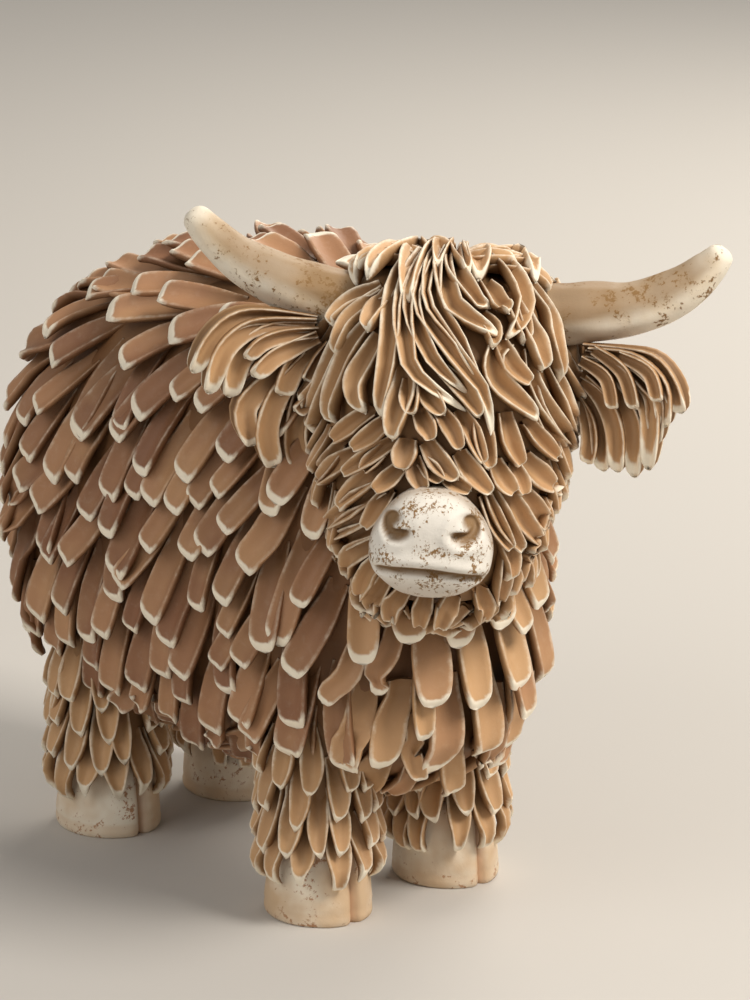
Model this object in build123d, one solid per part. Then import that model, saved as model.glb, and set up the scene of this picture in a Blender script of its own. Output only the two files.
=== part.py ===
"""Highland cow figurine: a cast resin ornament put together from separate castings on glued pegs.

Millimetres and degrees, +Z up. The cow walks towards -Y, so its left side is +X.
The model is laid out round the centre of the stance on the ground, and is moved at the
end so that the origin is at the middle of the bottom of its bounding box.
"""

from build123d import *

import math
import os

# Stance and hooves
TRACK = 35.5  # centre to centre of a left and a right hoof
STANCE = 71.0  # centre to centre of a front and a rear hoof
HOOF_WIDTH = 22.0
HOOF_LENGTH = 24.0
HOOF_HEIGHT = 15.0
HOOF_EDGE = 1.5  # height of the rolled edge round the sole
CLEFT_WIDTH = 1.4
CLEFT_DEPTH = 3.0
HOOF_PEG_RADIUS = 4.5
HOOF_PEG_LENGTH = 8.0

# Legs
LEG_TOP = 42.0  # height of the shoulder on which the body sits
LEG_RADIUS = 10.0
LEG_PEG_RADIUS = 7.0
LEG_PEG_LENGTH = 9.0

# Body
TORSO_FRONT = 62.0  # chest, ahead of the middle of the stance
TORSO_REAR = 66.0  # rump, behind the middle of the stance
TORSO_WIDTH = 66.0
TORSO_SQUARENESS = 2.5  # how full the barrel of the body is, 2 being elliptical
WITHERS_HEIGHT = 134.0
BELLY_HEIGHT = 25.0
NECK_SETBACK = 15.0  # neck joint behind the front of the chest
NECK_HEIGHT = 103.5
NECK_RISE = 28.0
NECK_PEG_RADIUS = 9.0
NECK_PEG_LENGTH = 12.0

# Head
HEAD_REACH = 13.0  # neck joint to the middle of the head
HEAD_OFFSET = -3.5  # middle of the head to the cow's right of the neck joint
HEAD_WIDTH = 48.0
HEAD_DEPTH = 44.0
HEAD_HEIGHT = 68.0
HEAD_TURN = -44.0  # to the cow's right
HEAD_TILT = 2.5
MUZZLE_WIDTH = 27.0
MUZZLE_HEIGHT = 24.0
MUZZLE_DEPTH = 13.0
MUZZLE_DROP = 18.0  # middle of the muzzle below the middle of the head
MUZZLE_SEAT = 4.0  # depth of its back in the head
MUZZLE_PEG_RADIUS = 5.0
MUZZLE_PEG_LENGTH = 6.0
NOSTRIL_RADIUS = 2.2
MOUTH_GAP = 1.2

# Horns and ears
HORN_RADIUS = 6.3
HORN_TIP_RADIUS = 2.2
HORN_SPAN = 32.0  # outward, from root to tip
HORN_LIFT = 19.5  # upward, from root to tip
HORN_HEIGHT = 23.0  # root above the middle of the head
HORN_SEAT = 3.0  # depth of the root in the head
HORN_PEG_RADIUS = 4.0
HORN_PEG_LENGTH = 9.0
EAR_LENGTH = 31.0
EAR_THICKNESS = 5.0
EAR_HEIGHT = 12.0  # root above the middle of the head
EAR_SEAT = 3.0  # depth of the root in the head
EAR_LEAN = 0.3  # how far the ear reaches forward for its reach outward
EAR_DROP = 0.15  # and how far it hangs
EAR_PEG_RADIUS = 3.0
EAR_PEG_LENGTH = 8.0

# Tail
TAIL_LENGTH = 52.0
TAIL_RADIUS = 5.0
TAIL_HEIGHT = 97.0  # root of the tail above the ground
TAIL_PEG_RADIUS = 3.0
TAIL_PEG_LENGTH = 8.0

# Locks of hair
LOCK_LENGTH = 22.0
LOCK_WIDTH = 9.0
LOCK_THICKNESS = 3.0
LOCK_LIFT = 4.5  # tip above the skin
LOCK_ROOT = 1.8  # root below the skin
LOCK_TAPER = 0.35  # how much narrower the tip is than the root
LOCK_ROWS = 10  # from the hips to the shoulders
LOCK_STEP = 0.85  # from one lock to the next below it, for its length
CHEST_LEVELS = (0.30, 0.44, 0.58)  # roots of the rows down the chest, up the body's height
RUMP_LEVELS = (0.34, 0.50, 0.66)  # and down the rump
FACE_LOCK_LENGTH = 15.0
FACE_LOCK_WIDTH = 8.0
FRINGE_LOCK_WIDTH = 7.0
FEATHER_LOCK_LENGTH = 17.0
FEATHER_LOCK_WIDTH = 6.5

GLUE_GAP = 0.15  # all round a peg in its socket

CORE_SIDES = 16  # facets round a core, which the coat covers
LIMB_SIDES = 10  # facets round a leg, an ear or the tail
GOLDEN = 0.618034  # steps of this share of one spread values evenly

# Shares of the body's length, width and height at stations from rump to chest:
# along, half width, top and bottom
TORSO_STATIONS = [
    (0.00, 0.34, 0.57, 0.35),
    (0.05, 0.64, 0.69, 0.19),
    (0.15, 0.90, 0.84, 0.06),
    (0.36, 1.00, 0.95, 0.01),
    (0.60, 1.00, 1.00, 0.00),
    (0.80, 0.96, 0.98, 0.00),
    (0.93, 0.78, 0.86, 0.05),
    (0.98, 0.55, 0.74, 0.14),
    (1.00, 0.25, 0.60, 0.28),
]

# Shares of the head's height, width and depth at stations from chin to poll:
# along, half width, half depth and how far the middle lies ahead of the axis
HEAD_STATIONS = [
    (0.00, 0.42, 0.42, 0.30),
    (0.14, 0.70, 0.68, 0.28),
    (0.34, 0.90, 0.90, 0.18),
    (0.58, 1.00, 1.00, 0.08),
    (0.80, 0.98, 0.98, 0.00),
    (0.93, 0.76, 0.76, -0.04),
    (1.00, 0.40, 0.40, -0.06),
]

# Shares of the muzzle's depth, width and height from its back to its blunt front:
# along, size and how far the middle rises
MUZZLE_STATIONS = [
    (0.00, 0.86, 0.00),
    (0.35, 1.00, 0.00),
    (0.70, 0.96, -0.02),
    (0.92, 0.74, -0.03),
    (1.00, 0.50, -0.03),
]

# Shares of the horn's reach and of the way from its root radius to its tip radius
HORN_STATIONS = [(0, 0.0), (0.25, 0.03), (0.5, 0.22), (0.75, 0.58), (0.94, 0.92), (1.0, 1.2)]


def spread(index, low, high):
    """A steady, uneven run of values between low and high, one for each index."""
    return low + (high - low) * ((index * GOLDEN) % 1)


def between(low, high, share):
    return low + (high - low) * share


def faceted(rings, parallel=False):
    """A solid with flat facets, from rings of as many corners each.

    Rings whose sides run parallel have four-cornered facets between them, and others triangles.
    """
    facets = [rings[0][::-1], rings[-1]]
    for low, high in zip(rings, rings[1:]):
        for k in range(len(low)):
            following = (k + 1) % len(low)
            quad = [low[k], low[following], high[following], high[k]]
            facets += [quad] if parallel else [quad[:3], [quad[0], *quad[2:]]]
    return Solid(Shell([Face(Wire.make_polygon(corners, close=True)) for corners in facets]))


class Form:
    """A core of ovals stacked along the z axis of a plane, with places on its skin.

    A station is (along, middle x, middle y, half width, half depth) in that plane. Each
    oval is an ellipse at a squareness of 2, and fuller at its corners above that.
    """

    def __init__(self, plane, stations, squareness=2.0, sides=CORE_SIDES):
        self.plane = plane
        self.stations = stations
        self.squareness = squareness
        self.sides = sides

    def oval(self, angle):
        """A place on the oval of half sizes 1."""
        turn = [math.cos(math.radians(angle)), math.sin(math.radians(angle))]
        return [math.copysign(abs(part) ** (2 / self.squareness), part) for part in turn]

    def solid(self):
        rings = []
        for along, mid_x, mid_y, half_x, half_y in self.stations:
            turns = [self.oval(360 * k / self.sides) for k in range(self.sides)]
            corners = [(mid_x + half_x * x, mid_y + half_y * y, along) for x, y in turns]
            rings.append([self.plane.from_local_coords(Vector(*c)) for c in corners])
        return faceted(rings)

    def section(self, along):
        """Middle and half sizes of the ellipse at a height, straight between stations."""
        first, last = self.stations[0], self.stations[-1]
        along = min(max(along, first[0]), last[0])
        for low, high in zip(self.stations, self.stations[1:]):
            if along <= high[0]:
                share = (along - low[0]) / (high[0] - low[0])
                return [between(a, b, share) for a, b in zip(low[1:], high[1:])]

    def point(self, share, angle):
        """A place on the skin: share of the way along, and an angle round the axis."""
        along = between(self.stations[0][0], self.stations[-1][0], share)
        mid_x, mid_y, half_x, half_y = self.section(along)
        x, y = self.oval(angle)
        return self.plane.from_local_coords(Vector(mid_x + half_x * x, mid_y + half_y * y, along))

    def level(self, place):
        """1 on the skin, less inside the core and more outside."""
        mid_x, mid_y, half_x, half_y = self.section(place.Z)
        wide, deep = abs(place.X - mid_x) / half_x, abs(place.Y - mid_y) / half_y
        return (wide**self.squareness + deep**self.squareness) ** (1 / self.squareness)

    def normal(self, place):
        step = 0.2
        local = self.plane.to_local_coords(place)
        slope = [
            self.level(local + axis * step) - self.level(local - axis * step)
            for axis in (Vector(1, 0, 0), Vector(0, 1, 0), Vector(0, 0, 1))
        ]
        tip = self.plane.from_local_coords(Vector(*slope))
        return (tip - self.plane.origin).normalized()

    def settle(self, place):
        """The place moved square to the axis onto the skin."""
        local = self.plane.to_local_coords(place)
        mid_x, mid_y, _, _ = self.section(local.Z)
        level = self.level(local)
        x = mid_x + (local.X - mid_x) / level
        y = mid_y + (local.Y - mid_y) / level
        return self.plane.from_local_coords(Vector(x, y, local.Z))

    def glide(self, start, flow, length, steps):
        """Places along the skin from start, each with its normal and heading."""
        place, walk = start, []
        for step in range(steps + 1):
            normal = self.normal(place)
            heading = flow(step / steps)
            heading = (heading - normal * heading.dot(normal)).normalized()
            walk.append((place, normal, heading))
            place = self.settle(place + heading * (length / steps))
        return walk


def lock(walk, width, lift, root=LOCK_ROOT, thickness=LOCK_THICKNESS):
    """One lock of hair along a walk: a tongue with a scooped face that rises to its tip.

    A walk of three places gives a straight lock with the bearing of its middle, and a
    longer one gives a lock that turns with the skin.
    """
    straight = len(walk) == 3
    if straight:
        bearing = walk[1][1:]
        walk = [(place, *bearing) for place, _, _ in walk[::2]]
    sections = []
    for step, (place, normal, heading) in enumerate(walk):
        share = step / (len(walk) - 1)
        height = between(-root, lift, math.sqrt(share))
        taper = 1 - LOCK_TAPER * share**3
        side = normal.cross(heading) * (width * taper / 2)
        rise = normal * (thickness * taper)
        middle = place + normal * height
        corners = [
            middle - side + rise * 0.6,
            middle + rise * 0.2,
            middle + side + rise * 0.6,
            middle - rise * 0.4,
        ]
        sections.append(corners)
    return faceted(sections, straight)


def coated(core, rows):
    """A core with its locks fused on, every third row together because those don't meet."""
    for first in range(3):
        core = core.fuse(*[one for locks in rows[first::3] for one in locks])
    return core


def largest(shape):
    return max(shape.solids(), key=lambda solid: solid.volume)


def peg(plane, radius, length, gap=0.0):
    """A glue peg that runs back into its socket from the plane, or with a gap the socket."""
    return Solid.make_cylinder(radius + gap, length + gap, Plane(plane.origin, z_dir=-plane.z_dir))


def hoof(x, y):
    """A cloven hoof with a rolled edge round its flat sole, and a peg up into the leg."""
    levels = [(0.0, 0.94), (HOOF_EDGE, 1.0), (HOOF_HEIGHT, 0.88)]
    rings = [
        Pos(x, y, height) * Ellipse(HOOF_WIDTH / 2 * share, HOOF_LENGTH / 2 * share)
        for height, share in levels
    ]
    body = loft([ring.face() for ring in rings], ruled=True).solid()
    toe = Vector(x, y - HOOF_LENGTH / 2, 0)
    notch = Polyline(
        toe + Vector(-CLEFT_WIDTH, -CLEFT_WIDTH, 0),
        toe + Vector(CLEFT_WIDTH, -CLEFT_WIDTH, 0),
        toe + Vector(0, CLEFT_DEPTH, 0),
        close=True,
    )
    cleft = extrude(make_face(notch), HOOF_HEIGHT, dir=(0, 0, 1)).solid()
    top = Plane((x, y, HOOF_HEIGHT), z_dir=(0, 0, -1))
    return body.cut(cleft).fuse(peg(top, HOOF_PEG_RADIUS, HOOF_PEG_LENGTH)).solid()


def leg(x, y, hoof_solid):
    """A leg with two rings of feathering that hang over the hoof."""
    core = Form(
        Plane((x, y, 0)),
        [
            (HOOF_HEIGHT, 0, 0, LEG_RADIUS * 0.92, LEG_RADIUS),
            (LEG_TOP, 0, 0, LEG_RADIUS * 1.05, LEG_RADIUS * 1.1),
        ],
        sides=LIMB_SIDES,
    )
    locks = []
    for row, (share, count) in enumerate([(0.45, 9), (0.80, 7)]):
        for k in range(count):
            angle = 360 * (k + 0.5 * row) / count
            sway = spread(k + 5 * row, -0.3, 0.3)
            start = core.point(share, angle)
            out = core.normal(start)
            aside = Vector(-out.Y, out.X, 0) * sway
            walk = core.glide(start, lambda t: aside - Vector(0, 0, 1), FEATHER_LOCK_LENGTH * share, 2)
            locks.append(lock(walk, FEATHER_LOCK_WIDTH, LOCK_LIFT))
    shoulder = Plane((x, y, LEG_TOP), z_dir=(0, 0, -1))
    body = core.solid().fuse(peg(shoulder, LEG_PEG_RADIUS, LEG_PEG_LENGTH), *locks)
    top = Plane((x, y, HOOF_HEIGHT), z_dir=(0, 0, -1))
    socket = peg(top, HOOF_PEG_RADIUS, HOOF_PEG_LENGTH, GLUE_GAP)
    return largest(body.cut(socket, hoof_solid))


def torso_form():
    length = TORSO_FRONT + TORSO_REAR
    height = WITHERS_HEIGHT - BELLY_HEIGHT
    stations = []
    for along, wide, top, bottom in TORSO_STATIONS:
        middle = BELLY_HEIGHT + height * (top + bottom) / 2
        half = height * (top - bottom) / 2
        stations.append((along * length - TORSO_REAR, 0, middle, wide * TORSO_WIDTH / 2, half))
    return Form(Plane((0, 0, 0), x_dir=(1, 0, 0), z_dir=(0, -1, 0)), stations, TORSO_SQUARENESS)


def body_flow(normal):
    """Hair lies back along the spine and the belly, and turns down over the flanks."""
    back = 0.30 + 0.70 * abs(normal.Z)
    return Vector(0, back, back - 1)


def torso_locks(form):
    """Staggered rows of locks from the hips to the shoulders."""
    rows = []
    for row in range(LOCK_ROWS):
        locks = []
        share = between(0.17, 0.955, row / (LOCK_ROWS - 1))
        girth = form.section(between(-TORSO_REAR, TORSO_FRONT, share))
        count = max(7, round((girth[2] + girth[3]) * math.pi / (LOCK_LENGTH * LOCK_STEP)))
        for k in range(count):
            index = 31 * row + k
            angle = 360 * (k + 0.5 * (row % 2) + spread(index, -0.15, 0.15)) / count
            start = form.point(share, angle)
            flow = body_flow(form.normal(start)) + Vector(spread(index, -0.25, 0.25), 0, 0)
            length = LOCK_LENGTH * spread(index + 3, 0.85, 1.15)
            walk = form.glide(start, lambda t: flow, length, 2)
            locks.append(lock(walk, LOCK_WIDTH * spread(index + 7, 0.9, 1.1), LOCK_LIFT))
        rows.append(locks)
    return rows


def end_place(form, x, z, reach):
    """The outermost place on the skin of the body, towards reach, at a place across and up."""
    inside, outside = 0.0, reach
    for _ in range(20):
        along = (inside + outside) / 2
        if form.level(Vector(x, z, along)) < 1:
            inside = along
        else:
            outside = along
    return form.plane.from_local_coords(Vector(x, z, inside))


def end_locks(form, reach, levels):
    """Rows of locks that hang straight down the chest or the rump."""
    rows = []
    down = Vector(0, 0, -1)
    for row, share in enumerate(levels):
        locks = []
        top = between(BELLY_HEIGHT, WITHERS_HEIGHT, share)
        for k in range(4):
            x = (k - 1.75 + 0.5 * (row % 2)) * LOCK_WIDTH * 1.1
            length = LOCK_LENGTH * spread(k + 5 * row, 0.9, 1.1)
            out = Vector(x * 2 / TORSO_WIDTH, -math.copysign(1, reach), 0).normalized()
            walk = [(end_place(form, x, top - length * t, reach), out, down) for t in (0, 0.5, 1)]
            locks.append(lock(walk, LOCK_WIDTH, LOCK_LIFT))
        rows.append(locks)
    return rows


def neck_plane():
    """The glued joint between body and head, facing forward and up along the neck."""
    rise = math.radians(NECK_RISE)
    return Plane(
        (0, NECK_SETBACK - TORSO_FRONT, NECK_HEIGHT),
        x_dir=(1, 0, 0),
        z_dir=(0, -math.cos(rise), math.sin(rise)),
    )


def head_plane():
    """The head's own frame: x to the cow's left, y backward and z up, turned and tilted."""
    neck = neck_plane()
    middle = neck.origin + neck.z_dir * HEAD_REACH + neck.x_dir * HEAD_OFFSET
    return Plane(Location(middle) * Rot(0, 0, HEAD_TURN) * Rot(0, HEAD_TILT, 0))


def head_form():
    stations = []
    for along, wide, deep, ahead in HEAD_STATIONS:
        stations.append(
            (
                (along - 0.5) * HEAD_HEIGHT,
                0,
                -ahead * HEAD_DEPTH,
                wide * HEAD_WIDTH / 2,
                deep * HEAD_DEPTH / 2,
            )
        )
    return Form(head_plane(), stations)


def head_place(x, y, z):
    return head_plane().from_local_coords(Vector(x, y, z))


def head_heading(x, y, z):
    return head_place(x, y, z) - head_plane().origin


def face_locks(form):
    """Rings of locks that hang round the cheeks, the chin and the back of the head."""
    rows = []
    for row, (share, count) in enumerate([(0.16, 8), (0.34, 9), (0.54, 9), (0.74, 9)]):
        locks = []
        for k in range(count):
            angle = 360 * (k + 0.5 * (row % 2)) / count
            start = form.point(share, angle)
            index = 13 * row + k
            sway = spread(index, -0.35, 0.35)
            flow = head_heading(sway, 0, -1)
            length = FACE_LOCK_LENGTH * spread(index, 0.85, 1.15)
            walk = form.glide(start, lambda t: flow, length, 2)
            locks.append(lock(walk, FACE_LOCK_WIDTH * spread(index + 3, 0.9, 1.15), LOCK_LIFT))
        rows.append(locks)
    return rows


def forelock(form):
    """Long waved locks that fall from the crown over the brow, the eyes and the cheeks."""
    count, locks = 17, []
    for k in range(count):
        angle = 360 * k / count - 90
        front = max(0.0, -math.sin(math.radians(angle)))
        length = HEAD_HEIGHT * between(0.34, spread(k, 0.54, 0.68), front)
        out = [math.cos(math.radians(angle)), math.sin(math.radians(angle))]
        bend = spread(3 * k, -0.5, 0.5) * max(0.3, front)

        def flow(t):
            wave = bend * math.sin(math.tau * t)
            return head_heading(out[0] - out[1] * wave, out[1] + out[0] * wave, -1.4)

        walk = form.glide(form.point(0.955, angle), flow, length, 4)
        locks.append(lock(walk, FRINGE_LOCK_WIDTH, LOCK_LIFT * 1.5))
    top = form.stations[-1]
    crown = Form(
        form.plane,
        [
            (top[0] - 2 * LOCK_LIFT, top[1], top[2], top[3] * 1.9, top[4] * 1.9),
            (top[0] + LOCK_LIFT * 0.5, top[1], top[2], top[3] * 0.9, top[4] * 0.9),
        ],
    )
    return coated(crown.solid(), [[one] for one in locks])


def muzzle_back(form):
    """How far ahead of the head's axis the back of the muzzle is seated."""
    _, mid_y, _, half_y = form.section(-MUZZLE_DROP)
    return mid_y - half_y + MUZZLE_SEAT


def muzzle(form):
    """A blunt muzzle with two comma nostrils and a curved mouth line."""
    back = muzzle_back(form)
    rings = []
    for along, share, drop in MUZZLE_STATIONS:
        seat = Plane(
            head_place(0, back - along * MUZZLE_DEPTH, -MUZZLE_DROP + drop * MUZZLE_HEIGHT),
            x_dir=head_heading(1, 0, 0),
            z_dir=head_heading(0, -1, 0),
        )
        rings.append((seat * Ellipse(MUZZLE_WIDTH / 2 * share, MUZZLE_HEIGHT / 2 * share)).face())
    body = loft(rings).solid()
    front = Plane(
        head_place(0, back - MUZZLE_DEPTH, -MUZZLE_DROP),
        x_dir=head_heading(1, 0, 0),
        z_dir=head_heading(0, -1, 0),
    )
    deep = MUZZLE_DEPTH * 0.45
    cuts = []
    for side in (1, -1):
        middle = (side * MUZZLE_WIDTH * 0.27, MUZZLE_HEIGHT * 0.16)
        pit = Pos(*middle) * Rot(0, 0, side * 35) * Ellipse(NOSTRIL_RADIUS * 1.3, NOSTRIL_RADIUS)
        wing = Pos(middle[0] + side * NOSTRIL_RADIUS, middle[1] + NOSTRIL_RADIUS) * Ellipse(
            NOSTRIL_RADIUS * 0.5, NOSTRIL_RADIUS
        )
        cuts.append(extrude(front * (pit + wing), deep, dir=-front.z_dir))
    corner = (MUZZLE_WIDTH * 0.44, -MUZZLE_HEIGHT * 0.12)
    smile = [(-corner[0], corner[1]), (0, -MUZZLE_HEIGHT * 0.27), corner]
    upper = ThreePointArc(*smile)
    lower = ThreePointArc(*[(x, z - MOUTH_GAP) for x, z in smile])
    ends = [Line(upper @ share, lower @ share) for share in (0, 1)]
    line = make_face([upper, lower, *ends])
    cuts.append(extrude(front * line, deep, dir=-front.z_dir))
    seat = Plane(head_place(0, back, -MUZZLE_DROP), z_dir=head_heading(0, -1, 0))
    bar = peg(seat, MUZZLE_PEG_RADIUS, MUZZLE_PEG_LENGTH)
    socket = peg(seat, MUZZLE_PEG_RADIUS, MUZZLE_PEG_LENGTH, GLUE_GAP)
    return largest(body.cut(*[c.solid() for cut in cuts for c in cut.solids()]).fuse(bar)), socket


def horn(side):
    """A horn that reaches out and turns up to a blunt tip, and its socket in the head."""
    root = HEAD_WIDTH / 2 - HORN_SEAT
    reach = HORN_SPAN + HORN_SEAT
    rings = []
    for share, taper in HORN_STATIONS:
        place = head_place(side * (root + reach * share), 2, HORN_HEIGHT + HORN_LIFT * share**1.7)
        slope = HORN_LIFT * 1.7 * share**0.7 / reach
        ring = Plane(place, x_dir=head_heading(0, 1, 0), z_dir=head_heading(side, 0, slope))
        radius = between(HORN_RADIUS, HORN_TIP_RADIUS, taper)
        rings.append((ring * Circle(radius)).face())
    seat = Plane(head_place(side * root, 2, HORN_HEIGHT), z_dir=head_heading(side, 0, 0))
    body = loft(rings).solid().fuse(peg(seat, HORN_PEG_RADIUS, HORN_PEG_LENGTH)).solid()
    return body, peg(seat, HORN_PEG_RADIUS, HORN_PEG_LENGTH, GLUE_GAP)


def ear(side):
    """A drooping ear hung with a fan of locks before and behind, and its socket."""
    root = HEAD_WIDTH / 2 - EAR_SEAT
    seat = Plane(
        head_place(side * root, 0, EAR_HEIGHT),
        x_dir=head_heading(side * EAR_LEAN, 1, 0),
        z_dir=head_heading(side, -EAR_LEAN, -EAR_DROP),
    )
    half = EAR_THICKNESS / 2
    core = Form(
        seat,
        [
            (0, 0, 0, half, half * 1.8),
            (EAR_LENGTH * 0.45, 0, 0, half, half * 2.4),
            (EAR_LENGTH * 0.85, 0, 0, half * 0.6, half),
        ],
        sides=LIMB_SIDES,
    )
    count, locks = 5, []
    for k in range(count):
        share = k / (count - 1)
        fall = math.radians(between(85, 5, share))
        length = EAR_LENGTH * spread(k, 0.52, 0.64)
        heading = head_heading(side * math.cos(fall), -EAR_LEAN * math.cos(fall), -math.sin(fall))
        for face in (-1, 1):
            normal = head_heading(side * EAR_LEAN * face, face, 0)
            out = EAR_SEAT + EAR_LENGTH * between(0.10, 0.50, share)
            ahead = face * half - EAR_LEAN * out
            start = head_place(side * (root + out), ahead, EAR_HEIGHT - EAR_DROP * out)
            walk = [(start + heading * (length * t), normal, heading) for t in (0, 0.5, 1)]
            locks.append(lock(walk, FACE_LOCK_WIDTH, spread(k, 0, LOCK_THICKNESS)))
    body = core.solid().fuse(peg(seat, EAR_PEG_RADIUS, EAR_PEG_LENGTH), *locks)
    return largest(body), peg(seat, EAR_PEG_RADIUS, EAR_PEG_LENGTH, GLUE_GAP)


def tail():
    """A tail that hangs close to the rump and ends in a tuft, and its socket."""
    top = Plane((0, TORSO_REAR, TAIL_HEIGHT), x_dir=(1, 0, 0), z_dir=(0, 0, -1))
    core = Form(
        top,
        [
            (0, 0, 4, TAIL_RADIUS * 0.7, TAIL_RADIUS * 0.9),
            (TAIL_LENGTH * 0.15, 0, 0, TAIL_RADIUS * 0.8, TAIL_RADIUS),
            (TAIL_LENGTH * 0.6, 0, -TAIL_RADIUS * 0.5, TAIL_RADIUS, TAIL_RADIUS),
            (TAIL_LENGTH * 0.9, 0, 0, TAIL_RADIUS * 0.5, TAIL_RADIUS * 0.5),
        ],
        sides=LIMB_SIDES,
    )
    locks = []
    for row, share in enumerate((0.1, 0.5)):
        for k in range(4):
            start = core.point(share, 90 * (k + 0.5 * row))
            sway = Vector(spread(k + row, -0.3, 0.3), 0, -1)
            walk = core.glide(start, lambda t: sway, TAIL_LENGTH * 0.4, 2)
            locks.append(lock(walk, FACE_LOCK_WIDTH * 0.85, LOCK_LIFT * 0.6))
    seat = Plane((0, TORSO_REAR - 4, TAIL_HEIGHT - TAIL_RADIUS), z_dir=(0, 1, 0))
    body = core.solid().fuse(peg(seat, TAIL_PEG_RADIUS, TAIL_PEG_LENGTH), *locks)
    return largest(body), peg(seat, TAIL_PEG_RADIUS, TAIL_PEG_LENGTH, GLUE_GAP)


def head_parts(neck, behind):
    """The head with the muzzle, horns, ears and forelock seated in it."""
    skull = head_form()
    nodes = {}
    nodes["muzzle"], hole = muzzle(skull)
    room_for = [behind, nodes["muzzle"], hole]
    for name, side in (("right", -1), ("left", 1)):
        nodes[f"horn_{name}"], hole = horn(side)
        room_for += [nodes[f"horn_{name}"], hole]
    for name, side in (("right", -1), ("left", 1)):
        shape, hole = ear(side)
        nodes[f"ear_{name}"] = largest(shape.cut(nodes[f"horn_{name}"]))
        room_for += [nodes[f"ear_{name}"], hole]
    nodes["forelock"] = largest(forelock(skull).cut(*room_for))
    head = coated(skull.solid(), face_locks(skull)).cut(*room_for, nodes["forelock"])
    nodes["head"] = largest(largest(head).fuse(peg(neck, NECK_PEG_RADIUS, NECK_PEG_LENGTH)))
    return nodes


def build():
    """Every casting by name, each cut to leave room for the ones seated in it."""
    neck = neck_plane()
    room = 2 * (TORSO_FRONT + WITHERS_HEIGHT)
    ahead = neck * Box(room, room, room, align=(Align.CENTER, Align.CENTER, Align.MIN))
    behind = neck * Box(room, room, room, align=(Align.CENTER, Align.CENTER, Align.MAX))
    nodes = head_parts(neck, behind.solid())
    room_for = [ahead.solid(), peg(neck, NECK_PEG_RADIUS, NECK_PEG_LENGTH, GLUE_GAP)]
    room_for += [nodes["ear_right"], nodes["ear_left"]]
    for end, y in (("front", -STANCE / 2), ("rear", STANCE / 2)):
        for side, x in (("right", -TRACK / 2), ("left", TRACK / 2)):
            foot = hoof(x, y)
            limb = leg(x, y, foot)
            nodes[f"hoof_{end}_{side}"] = foot
            nodes[f"leg_{end}_{side}"] = limb
            shoulder = Plane((x, y, LEG_TOP), z_dir=(0, 0, -1))
            room_for += [limb, peg(shoulder, LEG_PEG_RADIUS, LEG_PEG_LENGTH, GLUE_GAP)]
    nodes["tail"], hole = tail()
    torso = torso_form()
    body = coated(torso.solid(), torso_locks(torso))
    chest = end_locks(torso, TORSO_FRONT, CHEST_LEVELS)
    rump = end_locks(torso, -TORSO_REAR, RUMP_LEVELS)
    body = coated(body, chest + rump)
    nodes["torso"] = largest(body.cut(*room_for, nodes["tail"], hole))
    return nodes


def settle_on_ground(nodes):
    """The castings moved so that the origin is under the middle of the whole figurine."""
    boxes = [shape.bounding_box() for shape in nodes.values()]
    low = [min(getattr(box.min, axis) for box in boxes) for axis in "XYZ"]
    high = [max(getattr(box.max, axis) for box in boxes) for axis in "XYZ"]
    shift = Location((-(low[0] + high[0]) / 2, -(low[1] + high[1]) / 2, -low[2]))
    return {name: shape.moved(shift) for name, shape in nodes.items()}


if __name__ == "__main__":
    os.makedirs("parts", exist_ok=True)
    for name, shape in settle_on_ground(build()).items():
        export_step(shape, f"parts/{name}.step")
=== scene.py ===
"""Highland cow ornament of painted cast resin: the coat, horns, muzzle and hooves in detail."""

import math
import random
from typing import NamedTuple

import bpy
import numpy as np
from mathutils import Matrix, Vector, noise


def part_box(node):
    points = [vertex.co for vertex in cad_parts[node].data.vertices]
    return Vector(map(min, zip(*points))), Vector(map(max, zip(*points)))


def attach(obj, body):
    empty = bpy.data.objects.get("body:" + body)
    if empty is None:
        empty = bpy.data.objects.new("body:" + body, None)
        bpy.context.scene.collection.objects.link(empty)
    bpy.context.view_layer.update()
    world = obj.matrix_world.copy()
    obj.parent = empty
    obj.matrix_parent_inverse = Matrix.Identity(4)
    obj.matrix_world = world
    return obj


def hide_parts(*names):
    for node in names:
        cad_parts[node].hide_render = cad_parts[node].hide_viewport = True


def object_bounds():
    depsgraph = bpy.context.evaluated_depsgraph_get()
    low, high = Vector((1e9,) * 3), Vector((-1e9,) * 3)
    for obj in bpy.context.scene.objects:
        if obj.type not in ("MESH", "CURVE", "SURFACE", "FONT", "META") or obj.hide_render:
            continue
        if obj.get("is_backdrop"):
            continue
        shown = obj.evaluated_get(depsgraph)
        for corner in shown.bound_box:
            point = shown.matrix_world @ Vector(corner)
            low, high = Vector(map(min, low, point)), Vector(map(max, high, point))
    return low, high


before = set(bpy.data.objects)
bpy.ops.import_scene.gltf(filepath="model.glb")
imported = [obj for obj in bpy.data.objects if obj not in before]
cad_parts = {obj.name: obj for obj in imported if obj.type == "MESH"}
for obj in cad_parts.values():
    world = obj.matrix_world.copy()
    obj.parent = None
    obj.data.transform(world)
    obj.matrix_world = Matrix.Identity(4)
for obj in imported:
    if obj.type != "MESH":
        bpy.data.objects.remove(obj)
CAD_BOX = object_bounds()

bl_info = {
    "name": "Highland Cow Ornament",
    "version": (1, 0, 0),
    "blender": (4, 5, 0),
    "location": "3D View > Sidebar > Cow",
    "description": "Builds a painted Highland cow ornament lock by lock",
    "category": "Add Mesh",
}

# The forms below are in millimetres, about the middle of the stance on the ground.
# The cow walks towards -Y, and its left side is +X.
MM = 0.001
HOOVES = ("hoof_front_right", "hoof_front_left", "hoof_rear_right", "hoof_rear_left")


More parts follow.
